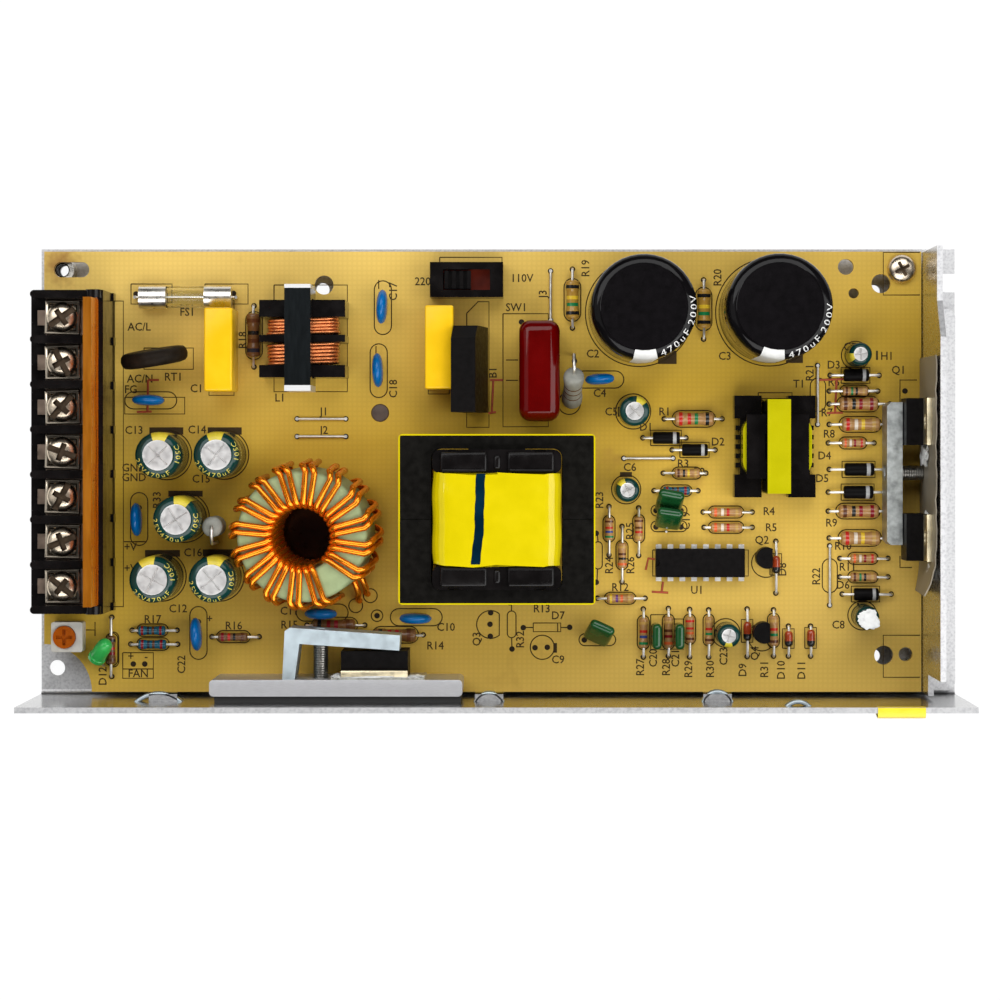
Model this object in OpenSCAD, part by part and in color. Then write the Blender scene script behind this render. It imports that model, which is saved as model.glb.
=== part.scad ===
// Open switching power supply: folded chassis, loaded circuit board, screw terminals.
// Millimetres, +Z up, +X away from the terminals, origin under the middle of the chassis.

/* [Board] */
// strip between the terminal block and the output capacitors
front_strip = 5.4; // [4:0.1:9]
// strip between the last leads and the end wall
back_strip = 7; // [6.8:0.1:10]
// strip between the lowest leads and the board's edge at the long wall
wall_strip = 3.3; // [2.5:0.1:8]
// strip between the voltage selector and the board's open edge
edge_strip = 2.7; // [2.2:0.1:8]
// thickness of the circuit board
board_t = 1.6; // [1.2:0.1:2.0]
// clear height under the board
board_gap = 5.2; // [4:0.1:8]

/* [Chassis] */
// sheet thickness
sheet_t = 1.2; // [1:0.1:1.6]
// height of the long wall and of the end wall
wall_h = 38; // [36:0.5:42]
// length of the end wall's foot
foot_l = 6.7; // [4:0.1:9]
// hole in the base's open corner
base_hole_d = 3.4; // [3:0.1:3.8]
// threaded holes in the base
tap_d = 2.9; // [2.5:0.1:3.2]

/* [Terminal block] */
// number of poles
poles = 7; // [5:1:7]
// distance between poles
pole_pitch = 9.5; // [9:0.1:9.6]
// thickness of the walls between poles
barrier_t = 1.7; // [1.4:0.1:2.0]
// height of the block above the board
terminal_h = 17; // [16:0.5:18]
// height of the hinged cover
cover_h = 10.4; // [9:0.1:12]

/* [Magnetics] */
// transformer core, across the outer legs
core_l = 40.5; // [39:0.5:42]
// transformer core, along the winding
core_w = 35; // [34:0.5:36]
// transformer core thickness
core_h = 13; // [11:0.5:14]
// ring core outer diameter
ring_od = 28; // [25:0.5:28]
// ring core bore
ring_id = 14.5; // [14.5:0.5:16]
// ring core height
ring_h = 12; // [8:0.5:12]
// ring winding wire
wire_d = 1.25; // [0.9:0.05:1.25]
// turns on the ring
ring_turns = 15; // [10:1:15]

/* [Capacitors] */
// reservoir capacitor diameter
bulk_d = 22; // [18:0.5:23]
// reservoir capacitor height
bulk_h = 30; // [25:1:34]
// output capacitor diameter
output_d = 9.8; // [8:0.2:10]
// output capacitor height
output_h = 17.5; // [14:0.5:20]

/* [Hidden] */

// clearances
seat_gap = 0.3;
run_fit = 0.07;
wall_gap = 0.9;
end_gap = 0.2;
base_lip = 0.9;
base_front = 1.6;
bend_r = 1;

// rows of parts that set how long and how wide the board is
output_at = [[-71.4, 4.2], [-59.1, 4.3], [-67.6, -9.3], [-72.6, -22], [-60.1, -22]];
sel_y = 41.65;
sel_w = 7.5;
// resistors along X: lead, lead, y, body start, body end, diameter
large_x = [[35.9, 48.4, 12, 38.1, 46.5, 3], [71.5, 84.6, 15.2, 73.6, 81.8, 2.8],
  [71.5, 84.6, 10.8, 74.1, 82.3, 2.8], [71.3, 84.6, -7.9, 73.4, 82, 2.8], [71.5, 84.6, -13.7, 73.9, 82.3, 3],
  [-41.2, -28.7, -32.5, -39.7, -30.7, 2.8], [-28.7, -16.1, -34.6, -26.6, -17.6, 3]];
// resistors along Y: x, lead, lead, body start, body end, diameter
small_y = [[24, -17.4, -6.9, -14.1, -9.3, 2], [26.8, -23.2, -11.2, -20.1, -14.7, 2],
  [30.4, -17.5, -7.2, -14.3, -9.1, 2], [31.4, -39.4, -29, -37.3, -30.9, 2],
  [36.8, -39.2, -28.9, -37.3, -30.6, 2], [41.4, -39.4, -29.1, -36.2, -30.6, 2],
  [45.5, -39.4, -29.2, -36.5, -30.6, 1.8], [59.5, -39.2, -29.2, -36.9, -30.4, 2],
  [-83.3, -43.6, -30.8, -40.8, -34.7, 2]];

// chassis and board in the shared frame
term_depth = 16.3;
term_over = 1.3;
rear_x1 = min([for (p = output_at) p[0]]) - output_d / 2 - front_strip;
term_x0 = rear_x1 - term_depth;
board_x0 = term_x0 + term_over;
base_x0 = board_x0 - base_front;
wall_x = max([for (r = large_x) r[1]]) + back_strip;
board_x1 = wall_x - end_gap;
base_x1 = wall_x + sheet_t + foot_l;
board_y0 = min([for (r = small_y) r[1]]) - wall_strip;
wall_y = board_y0 - wall_gap;
base_y0 = wall_y - sheet_t;
board_y1 = sel_y + sel_w / 2 + edge_strip;
base_y1 = board_y1 + base_lip;
bt = sheet_t + board_gap + board_t;
corner_r = 10.3;

// mounting holes in the base and the larger holes over the threaded ones in the board
corner_hole = [board_x0 + 1.8, board_y0 + 4.7];
single_hole = [-38.2, board_y1 - 7.9];
pair_x = board_x1 - 9.6;
pair_y = [board_y0 + 7.3, board_y1 - 8.3];
notch_y = board_y1 - 6.4;
notch_w = 4.1;
notch_d = 4;
over_hole_d = 4.1;
over_at = [single_hole + [0.7, 0.7], [pair_x + 1.5, pair_y[0] + 0.6], [pair_x + 0.9, pair_y[1] + 1.4]];

// standoffs under the board, the first one takes the screw
standoff_d = 5;
standoff_at = [[board_x1 - 4.3, board_y1 - 3.8], [board_x0 + 3.7, board_y1 - 3.9],
  [board_x1 - 3.4, board_y0 + 8.1]];
screw_d = 3;
screw_head_d = 6.2;

// terminal block, tied to the board's front edge and, at its lower end, to the edge by the wall
bay_w = pole_pitch - barrier_t;
term_side = 17.7;
term_y0 = board_y0 + term_side;
term_y1 = term_y0 + poles * pole_pitch + barrier_t;
rear_x0 = rear_x1 - 3.1;
bay_z = bt + 9.5;
contact_t = 1;
plate_t = 1.2;
plate_l = 7.5;
plate_x = term_x0 + 7;
head_r = 3.2;
shank_d = 3.4;
shank_l = 7;
hinge_x = rear_x1 - 1.85;
knuckle_r = 1;
nub_d = 1.6;
hinge_z = bt + terminal_h + seat_gap + knuckle_r;
ear_r = 1.6;

// trimmer, tied to the board's front corner
trim_x = board_x0 + 5.6;
trim_y = board_y0 + 12.1;
trim_h = 5;
rotor_d = 4.8;

// lead wire
lead_d = 0.6;

// helpers
module slab(x0, x1, y0, y1, z0, z1) {
  translate([x0, y0, z0]) cube([x1 - x0, y1 - y0, z1 - z0]);
}
module along(p, q) {
  v = q - p;
  translate(p) rotate([0, acos(v[2] / norm(v)), atan2(v[1], v[0])]) children();
}
module rod(p, q, d) {
  along(p, q) cylinder(d = d, h = norm(q - p), $fn = 24);
}
module leg(x, y, z) {
  translate([x, y, bt]) cylinder(d = lead_d + 0.1, h = z - bt, $fn = 24);
}
module rrect(w, h, r) {
  translate([-w / 2 + r, -h / 2]) square([w - 2 * r, h]);
  translate([-w / 2, -h / 2 + r]) square([w, h - 2 * r]);
  for (sx = [-1, 1]) for (sy = [-1, 1])
    translate([sx * (w / 2 - r), sy * (h / 2 - r)]) circle(r = r, $fn = 32);
}
// body of an axial resistor, thicker over its end caps
module axial_body(l, d) {
  rotate_extrude($fn = 40)
    polygon([[0, 0], [d * 0.3, 0], [d / 2, 0.5], [d / 2, l * 0.24], [d * 0.43, l * 0.31],
      [d * 0.43, l * 0.69], [d / 2, l * 0.76], [d / 2, l - 0.5], [d * 0.3, l], [0, l]]);
}
// one axial part lying along X: lead ends a and b, body from c to e
module axial_x(a, b, y, c, e, d, plain = false) {
  z = bt + d / 2 + 0.2;
  translate([c, y, z]) rotate([0, 90, 0]) {
    if (plain) cylinder(d = d, h = e - c, $fn = 40);
    else axial_body(e - c, d);
  }
  rod([a, y, z], [b, y, z], lead_d);
  leg(a, y, z + lead_d / 2);
  leg(b, y, z + lead_d / 2);
}
// the same lying along Y
module axial_y(x, a, b, c, e, d, plain = false) {
  translate([x, 0, 0]) rotate([0, 0, 90]) axial_x(a, b, 0, c, e, d, plain);
}
// upright round capacitor with its crimp groove and sunk top
module can(x, y, d, h) {
  r = d / 2;
  translate([x, y, bt]) rotate_extrude($fn = 64)
    polygon([[0, 0], [r - 0.5, 0], [r, 0.6], [r, 1.6], [r - 0.35, 2.2], [r, 2.8], [r, h - 0.6],
      [r - 0.6, h], [r - 1.1, h], [r - 1.1, h - 0.3], [0, h - 0.3]]);
}
// flat-sided screw with a countersunk head, axis along +Z from the head
module flat_screw(l, head) {
  cylinder(d1 = head, d2 = screw_d, h = sink_h, $fn = 40);
  cylinder(d = screw_d, h = l, $fn = 40);
}
module cross_slot(w, l, depth) {
  for (a = [0, 90]) rotate([0, 0, a]) translate([-l / 2, -w / 2, -depth]) cube([l, w, depth + 1]);
}

// Chassis: base with its fold, and the long wall above the fold
module base_plan() {
  difference() {
    translate([base_x0, wall_y + bend_r]) square([base_x1 - base_x0, base_y1 - wall_y - bend_r]);
    translate(corner_hole) circle(d = base_hole_d, $fn = 40);
    translate(single_hole) circle(d = tap_d, $fn = 40);
    for (y = pair_y) translate([pair_x, y]) circle(d = tap_d, $fn = 40);
    translate([base_x1 - notch_d + notch_w / 2, notch_y]) circle(d = notch_w, $fn = 40);
    translate([base_x1 - notch_d + notch_w / 2, notch_y - notch_w / 2]) square([notch_d, notch_w]);
    translate(standoff_at[1]) circle(d = 2.4, $fn = 32);
  }
}
module fold_section() {
  r = bend_r + sheet_t;
  difference() {
    circle(r = r, $fn = 48);
    circle(r = bend_r, $fn = 48);
    translate([0, -r - 1]) square([r + 1, 2 * r + 2]);
    translate([-r - 1, 0]) square([2 * r + 2, r + 1]);
  }
}
lance_at = [-70.5, -1.7, 46.5];
module lance(x) {
  // raised half-round bridge pressed inwards from the wall
  translate([x, wall_y, bt + 14]) intersection() {
    rotate([0, 90, 0]) translate([0, 0, -3]) cylinder(r = 2, h = 6, $fn = 40);
    translate([-3, -0.4, -1.2]) cube([6, 3, 2.4]);
  }
}
rect_screw_x = -37.4;
rect_screw_z = bt + 12;
sink_d = 5.6;
sink_h = 1;
module sunk_hole() {
  translate([0, 0, -0.01]) {
    cylinder(d = screw_d + 0.4, h = sheet_t + 1, $fn = 40);
    cylinder(d1 = sink_d + 0.2, d2 = screw_d + 0.4, h = sink_h + 0.05, $fn = 40);
  }
}
module chassis() {
  color([0.78, 0.79, 0.8]) union() {
    linear_extrude(height = sheet_t) base_plan();
    translate([base_x0, wall_y + bend_r, sheet_t + bend_r]) rotate([90, 0, 90])
      linear_extrude(height = base_x1 - base_x0) fold_section();
  }
}
module long_wall() {
  color([0.78, 0.79, 0.8]) difference() {
    union() {
      slab(base_x0, base_x1, base_y0, wall_y, sheet_t + bend_r, wall_h);
      for (x = lance_at) lance(x);
    }
    translate([rect_screw_x, base_y0, rect_screw_z]) rotate([-90, 0, 0]) sunk_hole();
  }
}

// End wall: one sheet with a stepped top edge and a foot turned outwards
end_low = 20;
end_mid = 5.6;
end_step_y = board_y1 - 19.4;
end_slope = 7.7;
end_cut_y = 4.5;
end_y0 = wall_y + 0.8;
end_y1 = board_y1 - 0.2;
foot_y1 = board_y1 - 12.1;
foot_r = 2;
clamp_y = 0.4;
clamp_z = bt + 6.8;
module end_wall() {
  color([0.82, 0.83, 0.85]) difference() {
    union() {
      translate([wall_x, 0, 0]) rotate([90, 0, 90]) linear_extrude(height = sheet_t)
        polygon([[end_y0, sheet_t], [end_y1, sheet_t], [end_y1, wall_h - end_mid],
          [end_step_y + end_slope, wall_h - end_mid], [end_step_y, wall_h], [end_y0 + end_cut_y, wall_h],
          [end_y0 + end_cut_y, wall_h - end_low], [end_y0, wall_h - end_low]]);
      translate([wall_x + sheet_t, 0, sheet_t]) linear_extrude(height = sheet_t) {
        translate([0, end_y0]) square([foot_l - foot_r, foot_y1 - end_y0]);
        translate([0, end_y0 + foot_r]) square([foot_l, foot_y1 - end_y0 - 2 * foot_r]);
        for (y = [end_y0 + foot_r, foot_y1 - foot_r])
          translate([foot_l - foot_r, y]) circle(r = foot_r, $fn = 32);
      }
    }
    translate([wall_x + sheet_t, clamp_y, clamp_z]) rotate([0, -90, 0]) sunk_hole();
  }
}

// Board with its corner cut, slot and holes over the base's mounting holes
module board_plan() {
  difference() {
    translate([board_x0, board_y0]) square([board_x1 - board_x0, board_y1 - board_y0]);
    translate([board_x0, board_y0]) circle(r = corner_r, $fn = 64);
    for (p = over_at) translate(p) circle(d = over_hole_d, $fn = 40);
    translate([board_x1 - 16.3, board_y1 - 3.3]) circle(d = 3.4, $fn = 32);
    translate([board_x1 - 14.6, board_y1 - 9]) circle(d = 2.2, $fn = 32);
    translate(standoff_at[0]) circle(d = screw_d + 0.4, $fn = 32);
    translate(standoff_at[2]) circle(d = screw_d, $fn = 32);
    translate(standoff_at[1]) circle(d = 3.3, $fn = 32);
    translate(standoff_at[1] + [4.4, 0]) circle(d = 3.3, $fn = 32);
    translate(standoff_at[1] - [0, 1.65]) square([4.4, 3.3]);
  }
}
module board() {
  color([0.79, 0.63, 0.29]) translate([0, 0, bt - board_t]) linear_extrude(height = board_t) board_plan();
}
module board_standoffs() {
  color([0.72, 0.73, 0.74]) for (p = standoff_at)
    translate([p[0], p[1], sheet_t]) difference() {
      cylinder(d = standoff_d, h = board_gap, $fn = 40);
      translate([0, 0, -1]) cylinder(d = screw_d + 0.2, h = board_gap + 2, $fn = 32);
    }
}
module board_screw() {
  color([0.75, 0.72, 0.66]) translate([standoff_at[0][0], standoff_at[0][1], bt]) difference() {
    union() {
      translate([0, 0, -board_t - board_gap + 0.5]) cylinder(d = screw_d, h = board_t + board_gap, $fn = 32);
      rotate_extrude($fn = 48)
        polygon([[0, 0], [screw_head_d / 2, 0], [screw_head_d / 2, 1], [2.2, 2], [0, 2.2]]);
    }
    translate([0, 0, 2.2]) cross_slot(0.9, 3.4, 1.1);
  }
}

// Terminal block
barrier_x0 = term_x0 + 0.9;
module barrier(i) {
  y = term_y0 + barrier_t / 2 + i * pole_pitch;
  translate([0, 0, bt]) linear_extrude(height = terminal_h) {
    translate([barrier_x0 + barrier_t / 2, y]) circle(d = barrier_t, $fn = 32);
    translate([barrier_x0 + barrier_t / 2, y - barrier_t / 2])
      square([rear_x0 - barrier_x0, barrier_t]);
  }
}
function pole_y(i) = term_y0 + barrier_t / 2 + (i + 0.5) * pole_pitch;
module terminal_housing() {
  color([0.06, 0.06, 0.07]) difference() {
    union() {
      slab(term_x0, rear_x1, term_y0, term_y1, bt, bay_z);
      slab(rear_x0, rear_x1, term_y0, term_y1, bt, bt + terminal_h);
      for (i = [0 : poles]) barrier(i);
      for (y = [term_y0, term_y1 - barrier_t]) {
        slab(hinge_x - ear_r, hinge_x + ear_r, y, y + barrier_t, bt + terminal_h - 1, hinge_z);
        translate([hinge_x, y, hinge_z]) rotate([-90, 0, 0]) cylinder(r = ear_r, h = barrier_t, $fn = 40);
      }
      for (i = [0 : poles])
        slab(rear_x1 - 0.5, rear_x1 + 0.4, term_y0 + i * pole_pitch, term_y0 + i * pole_pitch + barrier_t,
          bt, bt + 3);
    }
    for (i = [0 : poles - 1])
      translate([plate_x, pole_y(i), bay_z - shank_l]) cylinder(d = shank_d + 0.4, h = shank_l + 1, $fn = 32);
    translate([hinge_x, term_y0 - 1, hinge_z]) rotate([-90, 0, 0])
      cylinder(d = nub_d + 2 * run_fit, h = term_y1 - term_y0 + 2, $fn = 40);
  }
}
module terminal_contacts() {
  color([0.85, 0.72, 0.4]) for (i = [0 : poles - 1]) {
    y = pole_y(i);
    difference() {
      union() {
        slab(plate_x - plate_l / 2, rear_x0, y - bay_w / 2 + 0.1, y + bay_w / 2 - 0.1, bay_z, bay_z + contact_t);
        slab(term_x0 + 1.5, plate_x - plate_l / 2, y - 1.6, y + 1.6, bay_z, bay_z + contact_t);
      }
      translate([plate_x, y, bay_z - 1]) cylinder(d = shank_d + 0.2, h = 4, $fn = 32);
    }
  }
}
module terminal_plates() {
  color([0.8, 0.78, 0.72]) for (i = [0 : poles - 1])
    translate([plate_x, pole_y(i), bay_z + contact_t]) difference() {
      linear_extrude(height = plate_t) rrect(plate_l, bay_w - 0.5, 0.6);
      translate([0, 0, -1]) cylinder(d = shank_d + 0.2, h = 4, $fn = 32);
    }
}
module terminal_screws() {
  z = bay_z + contact_t + plate_t;
  color([0.78, 0.75, 0.68]) for (i = [0 : poles - 1])
    translate([plate_x, pole_y(i), z]) difference() {
      union() {
        translate([0, 0, 0.2 - shank_l]) cylinder(d = shank_d, h = shank_l, $fn = 32);
        rotate_extrude($fn = 48)
          polygon([[0, 0], [head_r, 0], [head_r, 1.1], [head_r - 0.7, 1.9], [0, 2.1]]);
      }
      translate([0, 0, 2.1]) cross_slot(0.9, 3.8, 1.1);
    }
}
module terminal_cover() {
  y0 = term_y0 + barrier_t + seat_gap;
  y1 = term_y1 - barrier_t - seat_gap;
  color([0.93, 0.5, 0.1, 0.85]) union() {
    slab(hinge_x - 0.75, hinge_x + 0.95, y0, y1, hinge_z, hinge_z + cover_h);
    translate([hinge_x, y0, hinge_z]) rotate([-90, 0, 0]) cylinder(r = knuckle_r, h = y1 - y0, $fn = 40);
    translate([hinge_x, y0 - 1.3, hinge_z]) rotate([-90, 0, 0])
      cylinder(d = nub_d, h = y1 - y0 + 2.6, $fn = 40);
  }
}

// Trimmer and indicator beside the terminals
rotor_x = trim_x - 0.5;
rotor_z = bt + trim_h - 1.2 + seat_gap;
module trimmer_body() {
  color([0.85, 0.84, 0.8]) difference() {
    translate([trim_x, trim_y, bt]) linear_extrude(height = trim_h) rrect(6.7, 6.4, 0.5);
    translate([rotor_x, trim_y, bt + trim_h - 1.2]) cylinder(d = rotor_d + 2 * run_fit, h = 2, $fn = 48);
    translate([rotor_x, trim_y, bt + trim_h - 3]) cylinder(d = 1.5 + 2 * run_fit, h = 3, $fn = 32);
  }
}
module trimmer_rotor() {
  color([0.85, 0.45, 0.12]) translate([rotor_x, trim_y, rotor_z]) difference() {
    union() {
      cylinder(d = rotor_d, h = 1.5, $fn = 48);
      translate([0, 0, -1.2]) cylinder(d = 1.5, h = 1.4, $fn = 32);
    }
    translate([0, 0, 1.5]) cross_slot(0.7, 3.4, 0.7);
  }
}
led_foot = [-85.7, -39.2, bt + 3];
led_tip = [-82.9, -35.3, bt + 6];
module status_led() {
  color([0.1, 0.55, 0.2]) union() {
    along(led_foot, led_tip) rotate_extrude($fn = 40)
      polygon([[0, 0], [1.9, 0], [1.9, 0.9], [1.5, 0.9], [1.5, 4], [1.4, 4.5], [1.1, 5], [0.7, 5.3], [0, 5.45]]);
    for (s = [-1, 1])
      rod([-86.7 + s, -42.4 - 0.6 * s, bt + 0.2], led_foot + [0.25 + 0.6 * s, 0.35 - 0.45 * s, 0.3], 0.5);
  }
}

// Mains input parts
fuse_y = 38.15;
fuse_z = bt + 2.8;
fuse_d = 5;
fuse_ends = [[-77, -71.2], [-63, -57.2]];
fuse_leads = [fuse_ends[0][0] - 1, fuse_ends[1][1] + 0.9];
module fuse_tube() {
  color([0.85, 0.9, 0.9, 0.5]) translate([fuse_ends[0][1], fuse_y, fuse_z]) rotate([0, 90, 0]) difference() {
    cylinder(d = fuse_d - 0.4, h = fuse_ends[1][0] - fuse_ends[0][1], $fn = 48);
    translate([0, 0, -1]) cylinder(d = fuse_d - 1.6, h = 20, $fn = 48);
  }
}
module fuse_caps() {
  color([0.8, 0.78, 0.72]) union() {
    for (e = fuse_ends) rod([e[0], fuse_y, fuse_z], [e[1], fuse_y, fuse_z], fuse_d);
    rod([fuse_leads[0], fuse_y, fuse_z], [fuse_leads[1], fuse_y, fuse_z], 0.5);
    for (x = fuse_leads) leg(x, fuse_y, fuse_z + 0.3);
  }
}
therm_at = [-73.15, 25.65];
therm_r = 7.2;
module thermistor() {
  r = therm_r;
  color([0.2, 0.17, 0.08]) translate([therm_at[0], therm_at[1], bt]) rotate([0, 0, 11.3]) union() {
    translate([0, 0, 2 + r]) rotate([90, 0, 0]) rotate_extrude($fn = 64)
      polygon([[0, -1.9], [r - 1, -1.9], [r, -1.1], [r, 1.1], [r - 1, 1.9], [0, 1.9]]);
    for (s = [-1, 1]) translate([s * 3.7, 0, 0]) cylinder(d = 0.8, h = 5, $fn = 24);
  }
}
line_at = [[-59, 26.6], [-12.3, 27.1]];
module line_capacitors() {
  color([0.9, 0.77, 0.1]) for (p = line_at) {
    translate([p[0], p[1], bt + 0.5]) linear_extrude(height = 13.5) rrect(6, 17.7, 0.7);
    for (s = [-1, 1]) leg(p[0], p[1] + s * 7.5, bt + 1);
  }
}

// Input choke: closed core, bobbin on its lower limb, two windings along Y
choke_x = -41.8;
choke_limb = 5.5;
choke_y = [17.7, 40.1];
choke_side = 2.8;
flange_at = [[20.7, 23.3], [28.2, 29.7], [33.5, 37.1]];
tube_w = choke_limb + 2.2;
tube_z = [bt + 2.9, bt + 10.1];
module choke_core() {
  color([0.5, 0.5, 0.52]) difference() {
    slab(choke_x - choke_limb / 2, choke_x + choke_limb / 2, choke_y[0], choke_y[1], bt + 4, bt + 20);
    slab(choke_x - choke_limb, choke_x + choke_limb, choke_y[0] + choke_side, choke_y[1] - choke_side,
      bt + 9, bt + 15);
  }
}
module choke_bobbin() {
  color([0.07, 0.07, 0.07]) difference() {
    union() {
      slab(choke_x - tube_w / 2, choke_x + tube_w / 2, flange_at[0][0], flange_at[2][1], tube_z[0], tube_z[1]);
      for (f = flange_at) slab(choke_x - 8.6, choke_x + 9.6, f[0], f[1], bt, bt + 13);
    }
    slab(choke_x - choke_limb / 2 - 0.2, choke_x + choke_limb / 2 + 0.2, flange_at[0][0] - 1,
      flange_at[2][1] + 1, bt + 3.8, bt + 9.2);
  }
}
module choke_slab(y, l, grow) {
  translate([choke_x, y + l, (tube_z[0] + tube_z[1]) / 2]) rotate([90, 0, 0]) linear_extrude(height = l)
    difference() {
      translate([0.4, 0]) rrect(14.6 + grow, 10 + grow, 2.4);
      square([tube_w + 0.1, tube_z[1] - tube_z[0] + 0.1], center = true);
    }
}
module choke_windings() {
  color([0.72, 0.38, 0.14]) for (k = [0, 1]) {
    y0 = flange_at[k][1] + 0.1;
    l = flange_at[k + 1][0] - flange_at[k][1] - 0.2;
    pitch = l / 6;
    choke_slab(y0, l, 0);
    for (i = [0 : 5]) choke_slab(y0 + (i + 0.2) * pitch, pitch * 0.6, 0.7);
  }
}

// Disc capacitors: x, y, turned along Y, radius
disc_at = [[-24.8, 36, 1, 3.7], [-25.7, 22.4, 1, 3.7], [-74.9, 16, 0, 3.5], [-77.4, -9.6, 1, 3.6],
  [-64.6, -34.2, 1, 3.6], [-37.9, -29.8, 0, 3.5], [-17.6, -30.8, 0, 3.5], [21.9, 20.5, 0, 3.2]];
module disc_capacitors() {
  color([0.08, 0.35, 0.62]) for (c = disc_at)
    translate([c[0], c[1], bt]) rotate([0, 0, c[2] * 90]) union() {
      translate([0, 0, 1.2 + c[3]]) rotate([90, 0, 0]) rotate_extrude($fn = 48)
        polygon([[0, -1.15], [c[3] - 1.3, -1.1], [c[3] - 0.4, -0.7], [c[3], 0], [c[3] - 0.4, 0.7],
          [c[3] - 1.3, 1.1], [0, 1.15]]);
      for (s = [-1, 1]) translate([s * 2.4, 0, 0]) cylinder(d = lead_d, h = c[3], $fn = 24);
    }
}

// Voltage selector
sel_x = -6.6;
sel_l = 15.6;
sel_h = 8;
slot_l = 10;
slot_w = 4.4;
slider_l = 5.6;
slider_x0 = sel_x - slot_l / 2 + seat_gap;
module selector_housing() {
  color([0.09, 0.08, 0.08]) difference() {
    slab(sel_x - sel_l / 2, sel_x + sel_l / 2, sel_y - sel_w / 2, sel_y + sel_w / 2, bt, bt + sel_h);
    slab(sel_x - slot_l / 2, sel_x + slot_l / 2, sel_y - slot_w / 2, sel_y + slot_w / 2, bt + 3, bt + sel_h + 1);
  }
}
module selector_insert() {
  color([0.6, 0.12, 0.08])
    slab(sel_x - slot_l / 2, sel_x + slot_l / 2, sel_y - slot_w / 2, sel_y + slot_w / 2, bt + 3, bt + 4);
}
module selector_slider() {
  w = slot_w - 2 * seat_gap;
  color([0.13, 0.12, 0.12]) union() {
    slab(slider_x0, slider_x0 + slider_l, sel_y - w / 2, sel_y + w / 2, bt + 4 + seat_gap, bt + sel_h - 1.2);
    for (i = [0 : 3]) {
      x = slider_x0 + i * (slider_l - 0.8) / 3;
      slab(x, x + 0.8, sel_y - w / 2, sel_y + w / 2, bt + sel_h - 1.5, bt + sel_h - 0.3);
    }
  }
}

// Bridge rectifier, leaning a little towards the terminals
bridge_at = [-4.65, 22.45];
bridge_l = 18.3;
bridge_t = 5.2;
bridge_h = 16;
bridge_pitch = 5.08;
module bridge_rectifier() {
  l = bridge_l / 2;
  color([0.1, 0.1, 0.1]) union() {
    translate([bridge_at[0], bridge_at[1], bt + 1.8]) rotate([0, -9, 0]) translate([-bridge_t / 2, 0, 0])
      rotate([90, 0, 90]) linear_extrude(height = bridge_t)
        polygon([[-l, 0], [l, 0], [l, bridge_h - 3], [l - 2.65, bridge_h], [-l, bridge_h]]);
    for (k = [-1.5 : 1.5]) translate([bridge_at[0], bridge_at[1] + k * bridge_pitch, bt])
      cylinder(d = 1, h = 4, $fn = 24);
  }
}
film_at = [8.95, 22.15];
film_l = 21.5;
film_w = 8.7;
film_h = 12.5;
film_pitch = 15;
module film_capacitor() {
  color([0.6, 0.06, 0.06]) union() {
    translate([film_at[0], film_at[1], bt + 0.6]) intersection() {
      translate([0, film_l / 2, film_h / 2]) rotate([90, 0, 0]) linear_extrude(height = film_l)
        rrect(film_w, film_h, 3.4);
      linear_extrude(height = film_h) rrect(film_w, film_l, 2.6);
    }
    for (s = [-0.5, 0.5]) leg(film_at[0], film_at[1] + s * film_pitch, bt + 3);
  }
}
// Standing power resistors: foot, head, where the returning lead lands
stand_at = [[[15.9, 15.6, bt + 2.5], [16.3, 21.4, bt + 11.5], [16.3, 25.6]],
  [[-60.5, -11, bt + 2], [-60.5, -11, bt + 12], [-60.5, -14.6]]];
module power_resistors() {
  color([0.62, 0.62, 0.63]) for (s = stand_at) union() {
    along(s[0], s[1]) axial_body(norm(s[1] - s[0]), 4.4);
    rod([s[0][0], s[0][1], bt], s[0] + [0, 0, 1], 0.7);
    rod(s[1] - [0, 0, 0.6], s[1] + [0, 0, 0.9], 0.7);
    rod(s[1] + [0, 0, 0.6], [s[2][0], s[2][1], s[1][2] + 0.6], 0.7);
    translate([s[2][0], s[2][1], bt]) cylinder(d = 0.8, h = s[1][2] + 1 - bt, $fn = 24);
  }
}

// Electrolytic capacitors
bulk_at = [[30.5, 34.9], [58.6, 35]];
small_at = [[29.2, 13.6, 6.4], [27.7, -3.2, 5.1], [77.2, 25.7, 4.9], [49.2, -34.2, 5], [78.7, -30.4, 5.1]];
module bulk_capacitors() {
  color([0.06, 0.06, 0.07]) for (p = bulk_at) can(p[0], p[1], bulk_d, bulk_h);
}
module output_capacitors() {
  color([0.05, 0.25, 0.22]) for (p = output_at) can(p[0], p[1], output_d, output_h);
}
module small_capacitors() {
  color([0.05, 0.25, 0.22]) for (p = small_at) can(p[0], p[1], p[2], 11);
}

// Ring choke: coated core with two wires wound side by side
ring_at = [-40.6, -12.6];
ring_z = bt + wire_d + 0.3;
wire_off = wire_d / 2 + 0.1;
wire_slack = 0.45;
wind_in = ring_id / 2 - wire_off;
wind_out = ring_od / 2 + wire_off + wire_slack;
wind_lo = ring_z - wire_off;
wind_hi = ring_z + ring_h + wire_off;
turn_step = 342 / ring_turns;
turn_start = -50;
sides = 6;
bend = 1;
// section of one turn, from the outside bottom inwards and back over the top
turn_path = [[wind_out, wind_lo + bend], [wind_out - 0.3, wind_lo + 0.3], [wind_out - bend, wind_lo],
  [wind_in + bend, wind_lo], [wind_in + 0.3, wind_lo + 0.3], [wind_in, wind_lo + bend],
  [wind_in, wind_hi - bend], [wind_in + 0.3, wind_hi - 0.3], [wind_in + bend, wind_hi],
  [wind_out - bend, wind_hi], [wind_out - 0.3, wind_hi - 0.3], [wind_out, wind_hi - bend]];
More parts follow.
